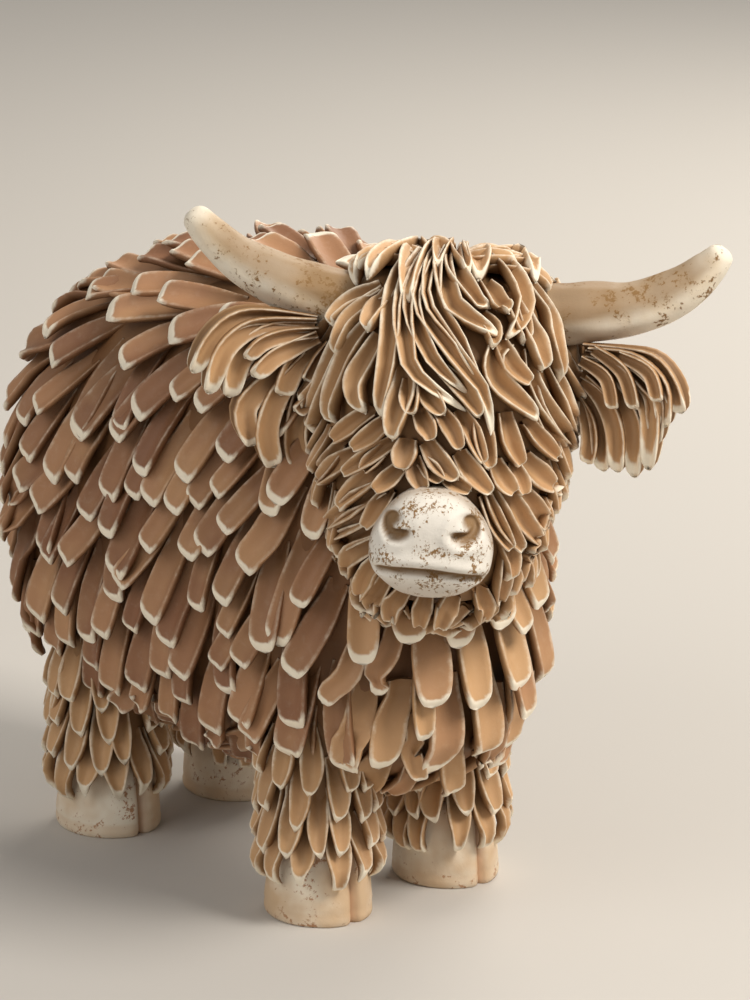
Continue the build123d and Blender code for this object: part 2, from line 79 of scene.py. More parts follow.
def stance_middle():
    """Where the middle of the four hooves stands in the frame."""
    boxes = [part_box(name) for name in HOOVES]
    low = np.min([np.array(b[0]) for b in boxes], axis=0)
    high = np.max([np.array(b[1]) for b in boxes], axis=0)
    return np.array([(low[0] + high[0]) / 2, (low[1] + high[1]) / 2, 0.0])


SHIFT = stance_middle()
TRACK = 35.5
STANCE = 71.0
TORSO_REAR = 66.0
TORSO_LENGTH = 128.0
TORSO_HALF_WIDTH = 33.0
BELLY = 25.0
TORSO_HEIGHT = 109.0
TORSO_SQUARENESS = 2.5
LEG_TOP = 46.0
HEAD_MIDDLE = (-3.5, -58.5, 109.6)
HEAD_TURN = -44.0
HEAD_TILT = 2.5
HEAD_HALF_WIDTH = 24.0
HEAD_HALF_DEPTH = 22.0
HEAD_DEPTH = 2 * HEAD_HALF_DEPTH
HEAD_HEIGHT = 68.0
# How far the rounded ends stand past the first and last stations
TORSO_DOME = 7.0
HEAD_DOME = 5.0

# Along, half width, top and bottom of the body from rump to chest, as shares
TORSO_STATIONS = [
    (0.03, 0.45, 0.62, 0.28),
    (0.06, 0.66, 0.70, 0.18),
    (0.15, 0.90, 0.84, 0.06),
    (0.36, 1.00, 0.95, 0.01),
    (0.60, 1.00, 1.00, 0.00),
    (0.80, 0.96, 0.98, 0.00),
    (0.93, 0.78, 0.86, 0.05),
    (0.97, 0.62, 0.78, 0.12),
]

# Along, half width, half depth and reach ahead of the head from chin to poll, as shares
HEAD_STATIONS = [
    (0.05, 0.52, 0.52, 0.30),
    (0.14, 0.70, 0.68, 0.28),
    (0.34, 0.90, 0.90, 0.18),
    (0.58, 1.00, 1.00, 0.08),
    (0.80, 0.98, 0.98, 0.00),
    (0.93, 0.76, 0.76, -0.04),
]


def between(low, high, share):
    return low + (high - low) * share


def smooth(low, high, value):
    """0 below low, 1 above high, and a smooth step between."""
    share = min(1.0, max(0.0, (value - low) / (high - low)))
    return share * share * (3 - 2 * share)


def hump(distance, breadth):
    """1 at no distance, falling off smoothly over a breadth."""
    return math.exp(-((distance / breadth) ** 2))


class Form:
    """A body of ovals stacked along an axis with domed ends, and places on its skin."""

    def __init__(self, origin, axes, stations, squareness=2.0, dome=6.0):
        self.origin = Vector(origin)
        self.axes = [Vector(a) for a in axes]
        self.along = [s[0] for s in stations]
        self.sizes = [s[1:] for s in stations]
        self.squareness = squareness
        self.dome = dome

    def to_local(self, place):
        out = place - self.origin
        return Vector([out.dot(axis) for axis in self.axes])

    def turn_out(self, local):
        return self.axes[0] * local[0] + self.axes[1] * local[1] + self.axes[2] * local[2]

    def to_world(self, local):
        return self.origin + self.turn_out(local)

    def section(self, along):
        """Middle and half sizes of the oval at a height."""
        return [np.interp(along, self.along, column) for column in zip(*self.sizes)]

    def level(self, local):
        """1 on the skin, less inside and more outside."""
        x, y, half_x, half_y = self.section(local[2])
        over = max(self.along[0] - local[2], local[2] - self.along[-1], 0.0)
        n = self.squareness
        total = (abs(local[0] - x) / half_x) ** n + (abs(local[1] - y) / half_y) ** n
        return (total + (over / self.dome) ** n) ** (1 / n)

    def slope(self, local):
        """How the level rises along each axis."""
        step = 0.15
        rise = []
        for k in range(3):
            offset = Vector([step if k == j else 0.0 for j in range(3)])
            rise.append((self.level(local + offset) - self.level(local - offset)) / (2 * step))
        return Vector(rise)

    def settle(self, place):
        """The nearest place on the skin, near enough, and the normal there."""
        local = self.to_local(place)
        for _ in range(3):
            slope = self.slope(local)
            local = local - slope * ((self.level(local) - 1) / max(slope.length_squared, 1e-6))
        return self.to_world(local), self.turn_out(self.slope(local)).normalized()

    def point(self, along, angle):
        """The place on the skin at a height and an angle round the axis."""
        x, y, half_x, half_y = self.section(along)
        turn = math.radians(angle)
        power = 2 / self.squareness
        across = math.copysign(abs(math.cos(turn)) ** power, math.cos(turn))
        up = math.copysign(abs(math.sin(turn)) ** power, math.sin(turn))
        return self.to_world(Vector((x + half_x * across, y + half_y * up, along)))

    def glide(self, start, flow, length, steps):
        """Places along the skin from start, each with its normal and heading."""
        place, normal = self.settle(start)
        walk = []
        heading = None
        for step in range(steps + 1):
            want = flow(step / steps, place, normal)
            want = want - normal * want.dot(normal)
            if want.length > 0.05:
                heading = want.normalized()
            elif heading is None:
                heading = normal.orthogonal().normalized()
            heading = (heading - normal * heading.dot(normal)).normalized()
            walk.append((place, normal, heading))
            place, normal = self.settle(place + heading * (length / steps))
        return walk


def torso_form():
    stations = []
    for along, wide, top, bottom in TORSO_STATIONS:
        middle = BELLY + TORSO_HEIGHT * (top + bottom) / 2
        half = TORSO_HEIGHT * (top - bottom) / 2
        stations.append((along * TORSO_LENGTH - TORSO_REAR, 0, middle, wide * TORSO_HALF_WIDTH, half))
    axes = [(1, 0, 0), (0, 0, 1), (0, -1, 0)]
    return Form((0, 0, 0), axes, stations, TORSO_SQUARENESS, TORSO_DOME)


def head_axes():
    """The head's own axes: to the cow's left, backward and up."""
    turn = math.radians(HEAD_TURN)
    tilt = math.radians(HEAD_TILT)
    flat = Vector((math.cos(turn), math.sin(turn), 0))
    back = Vector((-math.sin(turn), math.cos(turn), 0))
    side = flat * math.cos(tilt) - Vector((0, 0, 1)) * math.sin(tilt)
    return [side, back, side.cross(back)]


def head_form():
    stations = []
    for along, wide, deep, ahead in HEAD_STATIONS:
        height = (along - 0.5) * HEAD_HEIGHT
        stations.append((height, 0, -ahead * HEAD_DEPTH, wide * HEAD_HALF_WIDTH, deep * HEAD_HALF_DEPTH))
    return Form(HEAD_MIDDLE, head_axes(), stations, 2.0, HEAD_DOME)


def head_turn(x, y, z):
    axes = head_axes()
    return axes[0] * x + axes[1] * y + axes[2] * z


def head_place(x, y, z):
    return Vector(HEAD_MIDDLE) + head_turn(x, y, z)


# Out from the middle of a lock: how deep the scoop is there, and how much of the pale brush it takes
HALF_FACE = [
    (0.30, 0.86, 0.0),
    (0.58, 0.42, 0.15),
    (0.78, 0.06, 0.8),
    (0.94, 0.00, 1.0),
    (1.00, 0.22, 0.5),
]
LOCK_FACE = [(-across, deep, pale) for across, deep, pale in HALF_FACE[::-1]] + [(0.0, 1.0, 0.0)] + HALF_FACE
# Across the lock, back along its rounded underside
LOCK_UNDERSIDE = (0.96, 0.50, -0.50, -0.96)
# Where along a lock its rings lie, closer together round the blunt tip
LOCK_STOPS = (0.0, 0.16, 0.32, 0.46, 0.58, 0.68, 0.77, 0.84, 0.885, 0.92, 0.95, 0.975, 1.0)
LONG_STOPS = (
    *(0.0, 0.06, 0.13, 0.20, 0.28, 0.36, 0.44, 0.52),
    *(0.60, 0.68, 0.76, 0.83, 0.89, 0.93, 0.965, 1.0),
)
# Share of its width and thickness that a lock has at its root
ROOT_WIDTH = 0.72
ROOT_THICKNESS = 0.7
# The hollow underside of a lock, in thicknesses: how deep in the middle and how far the sides rise
UNDER_DEPTH = 0.40
UNDER_RISE = 0.75
# Where along a lock its pale lip starts, and how much sooner at the sides
LIP_START = 0.915
LIP_SOONER = 0.075
# How much painted shade the hollow of a lock, its underside and the form under the coat get, and that form's
# tone
HOLLOW_SHADE = 0.75
UNDER_SHADE = 0.9
CORE_SHADE = 0.85
CORE_TONE = 0.3


class LockShape(NamedTuple):
    """How a lock ends: where it narrows, to what width, how sharply, its scoop and its pale sides."""

    blunt: float
    tip: float
    point: float
    scoop: float
    edge: float


STRAP = LockShape(0.72, 0.24, 0.5, 0.62, 0.42)
PETAL = LockShape(0.58, 0.18, 0.5, 0.65, 0.50)
CURL = LockShape(0.50, 0.10, 0.85, 0.90, 0.70)
FEATHER = LockShape(0.42, 0.12, 0.85, 0.85, 0.60)
FAN = LockShape(0.72, 0.30, 0.5, 0.85, 0.60)


def under_lock(across):
    """Height of a lock's hollow underside, in thicknesses."""
    return UNDER_RISE * across**2 - UNDER_DEPTH


def stop_on(walk, share):
    """The place, normal and heading at a share of the way along a walk."""
    at = share * (len(walk) - 1)
    k = min(int(at), len(walk) - 2)
    low, high = walk[k], walk[k + 1]
    place, normal, heading = (a.lerp(b, at - k) for a, b in zip(low, high))
    return place, normal.normalized(), heading.normalized()


class Skin:
    """Gathers the mesh of one piece with the paint values of each place on it."""

    def __init__(self):
        self.places = []
        self.faces = []
        self.rim = []
        self.shade = []
        self.tone = []

    def add(self, places, faces, rim, shade, tone):
        first = len(self.places)
        self.places += places
        self.faces += [tuple(first + k for k in face) for face in faces]
        self.rim += rim
        self.shade += shade
        self.tone += [tone] * len(places)

    def core(self, form, sides=48, rows=28, shrink=0.4):
        """The form under the coat, as a closed skin."""
        places = []
        low, high = form.along[0], form.along[-1]
        stops = [between(low, high, k / (rows - 1)) for k in range(rows)]
        for along in stops:
            x, y, half_x, half_y = form.section(along)
            for k in range(sides):
                place = form.point(along, 360 * k / sides)
                middle = form.to_world(Vector((x, y, along)))
                places.append(place + (middle - place).normalized() * shrink)
        faces = rings_of_faces(rows, sides)
        for along, ring in ((low - form.dome * 0.8, 0), (high + form.dome * 0.8, rows - 1)):
            x, y, _, _ = form.section(along)
            places.append(form.to_world(Vector((x, y, along))))
            tip = len(places) - 1
            faces += fan_of_faces(ring * sides, sides, tip, ring == 0)
        count = len(places)
        # The form under the coat is dark with painted shade where it shows between the locks
        self.add(places, faces, [0.0] * count, [CORE_SHADE] * count, CORE_TONE)

    def lock(self, walk, width, thickness, lift, root, tone, shape=STRAP, stops=LOCK_STOPS):
        """One scooped tongue of hair along a walk: its root lies under the skin and its tip lifts off."""
        places, rim, shade = [], [], []
        around = len(LOCK_FACE) + len(LOCK_UNDERSIDE)
        for share in stops:
            place, normal, heading = stop_on(walk, share)
            side = heading.cross(normal)
            narrow = 1.0
            if share > shape.blunt:
                turn = (share - shape.blunt) / (1 - shape.blunt)
                narrow = between(shape.tip, 1, max(0.0, 1 - turn**2) ** shape.point)
            wide = between(ROOT_WIDTH, 1.0, smooth(0, 0.5, share)) * narrow
            thick = thickness * between(ROOT_THICKNESS, 1.0, smooth(0, 0.6, share))
            height = -root * (1 - share) ** 2 + lift * share**1.8
            # Painted shade, darker towards the root where the lock lies under the one above
            dark = 1 - smooth(0.1, 0.75, share)
            pale_side = between(shape.edge, 1.0, smooth(0.78, 0.92, share))
            ring = []
            for across, deep, pale in LOCK_FACE:
                start = LIP_START - LIP_SOONER * across**2
                lip = smooth(start - 0.03, start + 0.015, share)
                bevel = smooth(start - 0.02, 1.04, share)
                top = 1 - shape.scoop * between(0.6, deep, narrow)
                above = between(top, under_lock(across * narrow) + 0.1, bevel)
                ring.append((across, above, max(pale * pale_side, lip), HOLLOW_SHADE * dark))
            # The underside of the lock is dark with painted shade
            for across in LOCK_UNDERSIDE:
                ring.append((across, under_lock(across * narrow), 0.0, UNDER_SHADE))
            for across, above, pale, dim in ring:
                rise = height + thick * above
                places.append(place + side * (across * wide * width / 2) + normal * rise)
                rim.append(pale)
                shade.append(dim)
        place, normal, heading = walk[-1]
        places.append(place + heading * (0.12 * thickness) + normal * (lift - thickness * 0.2))
        rim.append(1.0)
        shade.append(0.0)
        faces = rings_of_faces(len(stops), around)
        faces += fan_of_faces((len(stops) - 1) * around, around, len(places) - 1, True)
        faces.append(tuple(range(around)))
        self.add(places, faces, rim, shade, tone)

    def build(self, name, slot, paint, nodes):
        """The piece as an object on the part's only body, in place of CAD nodes."""
        mesh = bpy.data.meshes.new(name)
        points = [tuple(np.array(p) * MM + SHIFT) for p in self.places]
        mesh.from_pydata(points, [], self.faces)
        for label, values in (("rim", self.rim), ("shade", self.shade), ("tone", self.tone)):
            layer = mesh.attributes.new(label, "FLOAT", "POINT")
            layer.data.foreach_set("value", np.array(values, dtype=np.float32))
        mesh.polygons.foreach_set("use_smooth", [True] * len(mesh.polygons))
        mesh.materials.append(paint)
        mesh.validate()
        piece = bpy.data.objects.new(name, mesh)
        bpy.context.scene.collection.objects.link(piece)
        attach(piece, "root")
        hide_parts(*nodes)
        return piece


def rings_of_faces(rows, around):
    """Quads between successive rings of as many places each."""
    faces = []
    for row in range(rows - 1):
        for k in range(around):
            a = row * around + k
            b = row * around + (k + 1) % around
            faces.append((a, a + around, b + around, b)[::-1])
    return faces


def fan_of_faces(first, around, tip, flip):
    """Triangles from a ring of places to a tip."""
    edges = [(first + k, first + (k + 1) % around, tip) for k in range(around)]
    return [edge[::-1] for edge in edges] if flip else edges


def scatter(form, dice, tries, along, flow, across, down, keep, taken=()):
    """Roots spread over the skin, no two closer than a lock's share of width and length."""
    roots = list(taken)
    for number in range(tries):
        angle = dice.uniform(0, 360)
        if number % 4:
            start = form.point(between(along[0], along[1], dice.random()), angle)
        else:
            end, out = dice.choice(((along[0], -1), (along[1], 1)))
            x, y, _, _ = form.section(end)
            middle = form.to_world(Vector((x, y, end)))
            start = middle.lerp(form.point(end, angle), math.sqrt(dice.random()))
            start += form.axes[2] * (out * form.dome * 0.7)
        place, normal = form.settle(start)
        if not keep(place, normal):
            continue
        heading = flow(0, place, normal)
        heading = (heading - normal * heading.dot(normal)).normalized()
        side = heading.cross(normal)
        clear = True
        for other, _, _ in roots:
            gap = place - other
            if abs(gap.x) < down and abs(gap.y) < down and abs(gap.z) < down:
                share = (gap.dot(side) / across) ** 2 + (gap.dot(heading) / down) ** 2
                share += (gap.dot(normal) / across) ** 2
                if share < 1:
                    clear = False
                    break
        if clear:
            roots.append((place, normal, heading))
    return roots


class Paint:
    """A painted surface, as shader nodes that are linked as they are added."""

    def __init__(self, name):
        self.material = bpy.data.materials.new(name)
        self.material.use_nodes = True
        self.tree = self.material.node_tree
        self.surface = self.tree.nodes["Principled BSDF"].inputs
        self.feed(self.surface["Roughness"], 0.55)
        self.feed(self.surface["Specular IOR Level"], 0.3)

    def feed(self, socket, source):
        """Link a socket to another node's, or set it to a fixed value."""
        if hasattr(source, "is_output"):
            self.tree.links.new(source, socket)
        else:
            socket.default_value = source

    def add(self, kind, links=(), **values):
        node = self.tree.nodes.new(kind)
        for key, value in values.items():
            setattr(node, key, value)
        for socket, source in links:
            self.feed(node.inputs[socket], source)
        return node

    def mix(self, share, first, second):
        """A mix of two colours, each a socket or a fixed colour."""
        return self.add("ShaderNodeMix", [(0, share), (6, first), (7, second)], data_type="RGBA").outputs[2]

    def ramp(self, value, low, high):
        """A value stretched so that low gives 0 and high gives 1."""
        links = [(0, value), (1, low), (2, high)]
        return self.add("ShaderNodeMapRange", links, interpolation_type="SMOOTHSTEP").outputs[0]

    def speckle(self, scale, detail=4.0, rough=0.6):
        where = self.add("ShaderNodeTexCoord").outputs["Object"]
        links = [("Vector", where), ("Scale", scale), ("Detail", detail), ("Roughness", rough)]
        return self.add("ShaderNodeTexNoise", links).outputs["Fac"]

    def value(self, label):
        """What the mesh holds under a label at each place."""
        return self.add("ShaderNodeAttribute", attribute_name=label, attribute_type="GEOMETRY").outputs["Fac"]

    def sum(self, kind, first, second):
        return self.add("ShaderNodeMath", [(0, first), (1, second)], operation=kind).outputs[0]

    def times(self, first, second):
        return self.sum("MULTIPLY", first, second)

    def finish(self, body, grain, strength, depth):
        """The material, with its colour and a fine grain raised on it."""
        self.feed(self.surface["Base Color"], body)
        bump = self.add("ShaderNodeBump", [("Height", grain), ("Strength", strength), ("Distance", depth)])
        self.feed(self.surface["Normal"], bump.outputs[0])
        return self.material


# Grains of the coat's paint per metre, how far apart locks still paint shade on each other, and shares of
# each wash
PATCH_GRAIN = 45.0
STREAK_GRAIN = 420.0
WEAR_GRAIN = 260.0
CREVICE_REACH = 0.007
PATCH_GOLD = 0.22
# The chest's gold is partly gold paint and partly painted light on the locks that face forward
CHEST_GOLD_AND_LIGHT = 0.6
STREAK_CREAM = 0.08

# How much gold each paint of the coat has in it
COAT_PAINTS = {"coat_paint": 0.0, "fringe_paint": 0.65, "face_paint": 0.55}
# Top paint, its wash, what it is rubbed back to and darkened to with painted shade, its grain per metre, and
# how much of it stays
RUBBED_PAINTS = {
    "muzzle_paint": ("white", "white", "bronze", 420.0, 0.555),
    "horn_paint": ("horn", "horn_wash", "bronze", 300.0, 0.67),
    "hoof_paint": ("hoof", "horn", "coat_tan", 260.0, 0.76),
}


def coat_paint(name, light):
    """Brown washes with painted shade in the hollows and a pale dry brush along every rim and tip."""
    colours = bpy.context.scene.cow_paint
    paint = Paint(name)
    tone = paint.value("tone")
    body = paint.mix(paint.ramp(tone, 0.0, 1.0), colours.coat_plum, colours.coat_tan)
    patch = paint.times(paint.ramp(paint.speckle(PATCH_GRAIN, 3.0), 0.42, 0.68), PATCH_GOLD)
    # Gold where the tone is over 1, on the locks that face forward: partly gold paint and partly painted
    # light
    chest = paint.times(paint.ramp(tone, 1.0, 2.0), CHEST_GOLD_AND_LIGHT)
    body = paint.mix(paint.sum("MAXIMUM", patch, chest), body, colours.coat_gold)
    body = paint.mix(light, body, colours.coat_gold)
    streak = paint.speckle(STREAK_GRAIN, 5.0, 0.7)
    body = paint.mix(paint.times(paint.ramp(streak, 0.5, 0.8), STREAK_CREAM), body, colours.cream)
    # Painted shade: darker where locks close over each other and where the shade value is high, in the
    # crevice colour of the dark wash
    open_air = paint.add("ShaderNodeAmbientOcclusion", [("Distance", CREVICE_REACH)], samples=6).outputs["AO"]
    closed = paint.times(paint.ramp(open_air, 0.70, 0.05), 0.9)
    hollow = paint.sum("MAXIMUM", paint.times(paint.value("shade"), 0.80), closed)
    body = paint.mix(hollow, body, colours.crevice)
    worn = paint.ramp(paint.speckle(WEAR_GRAIN, 6.0, 0.7), 0.25, 0.75)
    uneven = paint.times(paint.sum("SUBTRACT", worn, 0.5), 0.3)
    brushed = paint.sum("ADD", paint.value("rim"), uneven)
    body = paint.mix(paint.ramp(brushed, 0.28, 0.92), body, colours.cream)
    return paint.finish(body, streak, 0.25, 0.0004)


def rubbed_paint(name, base, wash, dark, grain, cover):
    """Pale paint rubbed back in clusters of fine speckles to the brown under it, paler where the rim value is
    high and darker with painted shade where the shade value is high.
    """
    paint = Paint(name)
    soft = paint.speckle(grain * 0.25, 3.0)
    cluster = paint.speckle(grain * 0.5, 2.0)
    fine = paint.speckle(grain * 3.2, 4.0, 0.7)
    body = paint.mix(paint.ramp(soft, 0.35, 0.7), base, wash)
    # Paler where the rim value is high; on the horns' tops this is also a painted highlight
    body = paint.mix(paint.times(paint.value("rim"), 0.8), body, base)
    rubbed = paint.sum("ADD", fine, paint.times(paint.sum("SUBTRACT", cluster, 0.5), 0.8))
    rubbed = paint.sum("ADD", rubbed, paint.times(paint.value("tone"), 0.3))
    body = paint.mix(paint.ramp(rubbed, cover, cover + 0.10), body, dark)
    # Darker where the shade value is high: painted shade in hollows and undersides, with the brown wash
    body = paint.mix(paint.value("shade"), body, dark)
    return paint.finish(body, fine, 0.3, 0.0003)


def paint_named(name):
    """The paint of that name, mixed when it is first asked for."""
    if name in bpy.data.materials:
        return bpy.data.materials[name]
    if name in COAT_PAINTS:
        return coat_paint(name, COAT_PAINTS[name])
    *layers, grain, cover = RUBBED_PAINTS[name]
    colours = bpy.context.scene.cow_paint
    return rubbed_paint(name, *(getattr(colours, layer) for layer in layers), grain, cover)


def length_property(name, words, value):
    return bpy.props.FloatProperty(name=name, description=words, default=value, unit="LENGTH")


class CowSizes(bpy.types.PropertyGroup):
    """Sizes of the coat and of the pieces."""

    lock_length: length_property("Body lock length", "Length of a lock on the flank", 0.0205)
    lock_width: length_property("Body lock width", "Width of a lock on the flank", 0.0062)
    lock_thickness: length_property("Lock thickness", "Thickness of a lock at its rim", 0.0022)
    lock_lift: length_property("Lock lift", "How far a tip stands off the skin", 0.0052)
    face_lock_length: length_property("Face lock length", "Length of a lock on the cheeks", 0.0120)
    forelock_width: length_property("Forelock width", "Width of a lock of the forelock", 0.0042)
    horn_radius: length_property("Horn radius", "Radius of a horn at its root", 0.0064)
    ear_length: length_property("Ear length", "Length of an ear", 0.0310)
    tail_length: length_property("Tail length", "Length of the tail with its tuft", 0.0520)


def colour_property(name, words, value):
    return bpy.props.FloatVectorProperty(
        name=name, description=words, subtype="COLOR", size=4, min=0.0, max=1.0, default=(*value, 1.0)
    )


class CowPaint(bpy.types.PropertyGroup):
    """Colours of the hand painting, as linear values."""

    coat_plum: colour_property("Plum brown", "Darker wash of the coat", (0.275, 0.130, 0.070))
    coat_tan: colour_property("Tan", "Lighter wash of the coat", (0.475, 0.255, 0.135))
    coat_gold: colour_property("Gold brown", "Golden patches of the coat", (0.720, 0.460, 0.230))
    # The crevice colour is the dark wash between the locks and also their painted shade
    crevice: colour_property("Crevice", "Dark wash between the locks", (0.125, 0.052, 0.012))
    cream: colour_property("Cream", "Dry brush on rims and tips", (0.940, 0.850, 0.690))
    white: colour_property("White", "Paint of the muzzle", (0.820, 0.770, 0.690))
    # Bronze is also the painted shade in the muzzle's hollows and on the horns' undersides
    bronze: colour_property("Bronze", "Brown under rubbed pale paint", (0.270, 0.150, 0.055))
    horn: colour_property("Horn", "Cream of the horns", (0.900, 0.820, 0.680))
    horn_wash: colour_property("Horn wash", "Bronze wash on the horns", (0.730, 0.570, 0.380))
    hoof: colour_property("Hoof", "Beige of the hooves", (0.670, 0.480, 0.300))


# How far the locks of the flank lean back, how much less they do near the belly, how much less at both
# ends of the body, and how far they part at the spine
FLANK_LEAN = 0.26
BELLY_LESS = 0.12
ENDS_LESS = 0.85
SPINE_PART = 0.30


def body_flow(share, place, normal):
    """Back along the spine, down and back over the flanks, straight down at both ends."""
    ends = max(smooth(0.35, 0.85, -normal.y), smooth(0.45, 0.9, normal.y))
    high = smooth(0.1, 0.95, normal.z)
    lean = FLANK_LEAN - BELLY_LESS * (1 - smooth(40, 75, place.z))
    back = between(lean, 1.0, high**2.6) * (1 - ENDS_LESS * ends)
    if normal.z < -0.5:
        back = 1.0
    part = math.copysign(SPINE_PART * high, place.x)
    return Vector((part, back, -max(0.15, 1 - back)))


# Share of a turn that spreads a run of values evenly
GOLDEN = 0.618034
# The broad locks, as the solids have them, and where those of chest and rump hang from
BROAD_LENGTH = 22.0
BROAD_WIDTH = 7.0
CHEST_WIDTH = 8.4
BROAD_ROWS = 10
BROAD_SPAN = (0.17, 0.955)
BROAD_LEAN = 0.24
BROAD_STEP = 0.85
CHEST_LEVELS = (0.30, 0.44, 0.58)
RUMP_LEVELS = (0.34, 0.50, 0.66)
END_SPACING = 9.9
END_COUNT = 4
WALK_STEPS = 11
# How often a root is tried, and how close roots may lie as shares of a lock's width and length
BODY_TRIES = 14000
ROOT_ACROSS = 0.92
ROOT_DOWN = 0.46


def spread(index, low, high):
    """A steady, uneven run of values between low and high, one for each index."""
    return between(low, high, (index * GOLDEN) % 1)


def broad_locks(form):
    """Walks of the broad locks in staggered rows from the hips to the shoulders."""
    for row in range(BROAD_ROWS):
        along = between(*BROAD_SPAN, row / (BROAD_ROWS - 1)) * TORSO_LENGTH - TORSO_REAR
        _, _, half_x, half_y = form.section(along)
        count = max(7, round((half_x + half_y) * math.pi / (BROAD_LENGTH * BROAD_STEP)))
        for k in range(count):
            index = 31 * row + k
            angle = 360 * (k + 0.5 * (row % 2) + spread(index, -0.15, 0.15)) / count
            start, normal = form.settle(form.point(along, angle))
            back = between(BROAD_LEAN, 1.0, abs(normal.z) ** 3)
            ahead = Vector((spread(index, -0.25, 0.25), back, back - 1))
            length = BROAD_LENGTH * spread(index + 3, 0.85, 1.15)
            yield form.glide(start, lambda share, where, out: ahead, length, WALK_STEPS)


def end_place(form, x, z, reach):
    """The outermost place on the skin of the body, towards reach, at a place across and up."""
    inside, outside = 0.0, reach
    for _ in range(20):
        along = (inside + outside) / 2
        if form.level(Vector((x, z, along))) < 1:
            inside = along
        else:
            outside = along
    return form.to_world(Vector((x, z, inside)))


def end_locks(form, reach, levels):
    """Walks of the broad locks that hang straight down the chest or the rump."""
    for row, level in enumerate(levels):
        top = BELLY + TORSO_HEIGHT * level
        for k in range(END_COUNT):
            x = (k - 1.75 + 0.5 * (row % 2)) * END_SPACING
            length = BROAD_LENGTH * spread(k + 5 * row, 0.9, 1.1)
            out = Vector((x / TORSO_HALF_WIDTH, -math.copysign(1, reach), 0)).normalized()
            down = Vector((0, 0, -1))
            heights = [top - length * t / WALK_STEPS for t in range(WALK_STEPS + 1)]
            yield [(end_place(form, x, height, reach), out, down) for height in heights]


class COW_OT_body(bpy.types.Operator):
    """Lay the coat of overlapping locks over the body"""

    bl_idname = "cow.body"
    bl_label = "Body coat"

    def execute(self, context):
        sizes = context.scene.cow_sizes
        form = torso_form()
        head = head_form()
        dice = random.Random(11)
        length, width = sizes.lock_length / MM, sizes.lock_width / MM
        thickness, lift = sizes.lock_thickness / MM, sizes.lock_lift / MM
        axis = form.along
        halves = {-1: Skin(), 1: Skin()}
        halves[-1].core(form)
        ends = [
            *end_locks(form, axis[-1] + form.dome, CHEST_LEVELS),
            *end_locks(form, axis[0] - form.dome, RUMP_LEVELS),
        ]
        broad = [*broad_locks(form), *ends]
        for number, walk in enumerate(broad):
            place, normal, _ = walk[0]
            hangs = number >= len(broad) - len(ends)
            wide, shape = (CHEST_WIDTH, PETAL) if hangs else (BROAD_WIDTH, STRAP)
            stand = lift if normal.z > -0.3 else lift * 0.3
            # A lock that faces forward gets a higher tone, for the chest's gold paint and painted light
            tone = dice.random() + smooth(0.2, 0.7, -normal.y)
            half = halves[-1 if place.x < 0 else 1]
            wide *= dice.uniform(0.88, 1.08)
            half.lock(walk, wide, thickness, stand, root=2.0, tone=tone, shape=shape)

        def keep(place, normal):
            return head.level(head.to_local(place)) > 0.85

        apart = (width * ROOT_ACROSS, length * ROOT_DOWN)
        taken = [walk[0] for walk in broad]
        roots = scatter(form, dice, BODY_TRIES, (axis[0], axis[-1]), body_flow, *apart, keep, taken)
        for place, normal, _ in roots[len(broad) :]:
            low = 1 - smooth(30, 60, place.z)
            size = between(1.0, 0.82, low) * dice.uniform(0.85, 1.12)
            swing = dice.uniform(-0.25, 0.25)
            bend = dice.uniform(-0.45, 0.45)

            def flow(share, where, out):
                ahead = body_flow(share, where, out)
                side = ahead.cross(out)
                return ahead + side * (swing + bend * share)

            reach = 0.6 if normal.z < -0.3 else 1.0
            walk = form.glide(place, flow, length * size * reach, WALK_STEPS)
            stand = lift * dice.uniform(0.7, 1.2) * reach**3
            half = halves[-1 if place.x < 0 else 1]
            shape = PETAL if normal.y < -0.45 else STRAP
            # A lock that faces forward gets a higher tone, for the chest's gold paint and painted light
            tone = dice.random() + smooth(0.2, 0.7, -normal.y)
            wide = width * size * dice.uniform(0.88, 1.12)
            half.lock(walk, wide, thickness, stand, root=1.8, tone=tone, shape=shape)
        for side, name in ((-1, "coat_right"), (1, "coat_left")):
            halves[side].build(name, "coat", paint_named("coat_paint"), ["torso"])
        return {"FINISHED"}


# Height, middle and half sizes of a leg
LEG_STATIONS = [(13, 0, 0, 9.6, 10.0), (28, 0, 0, 9.6, 10.2), (LEG_TOP, 0, 0, 10.8, 11.4)]
# Height of the roots, length and flare of each row of feathering
LEG_ROWS = ((24, 13.5, 4.4), (31, 15, 4.0), (38, 15, 3.4), (44, 14, 2.8))
LEG_COUNT = 12
LEG_LOCK_WIDTH = 5.6
# Height of each ring of a hoof and its share of the hoof's half sizes
HOOF_ROWS = (
    *((0.0, 0.0), (0.0, 0.80), (0.0, 0.955), (0.35, 0.985), (1.0, 1.0)),
    *((1.9, 1.0), (2.6, 0.985), (3.4, 0.995), (5.0, 0.985), (7.0, 0.97)),
    *((9.5, 0.94), (12.0, 0.91), (15.0, 0.88), (17.0, 0.86), (19.0, 0.84)),
)
HOOF_HALF_WIDTH = 11.0
HOOF_HALF_LENGTH = 12.0
HOOF_AROUND = 72
# The cleft between the toes: half its angle, and its depth as a share of the hoof
CLEFT_ANGLE = 0.085
CLEFT_DEPTH = 0.13


def feet():
    """Each foot's name and its place across and along the stance."""
    for end, y in (("front", -STANCE / 2), ("rear", STANCE / 2)):
        for side, x in (("right", -TRACK / 2), ("left", TRACK / 2)):
            yield f"{end}_{side}", x, y


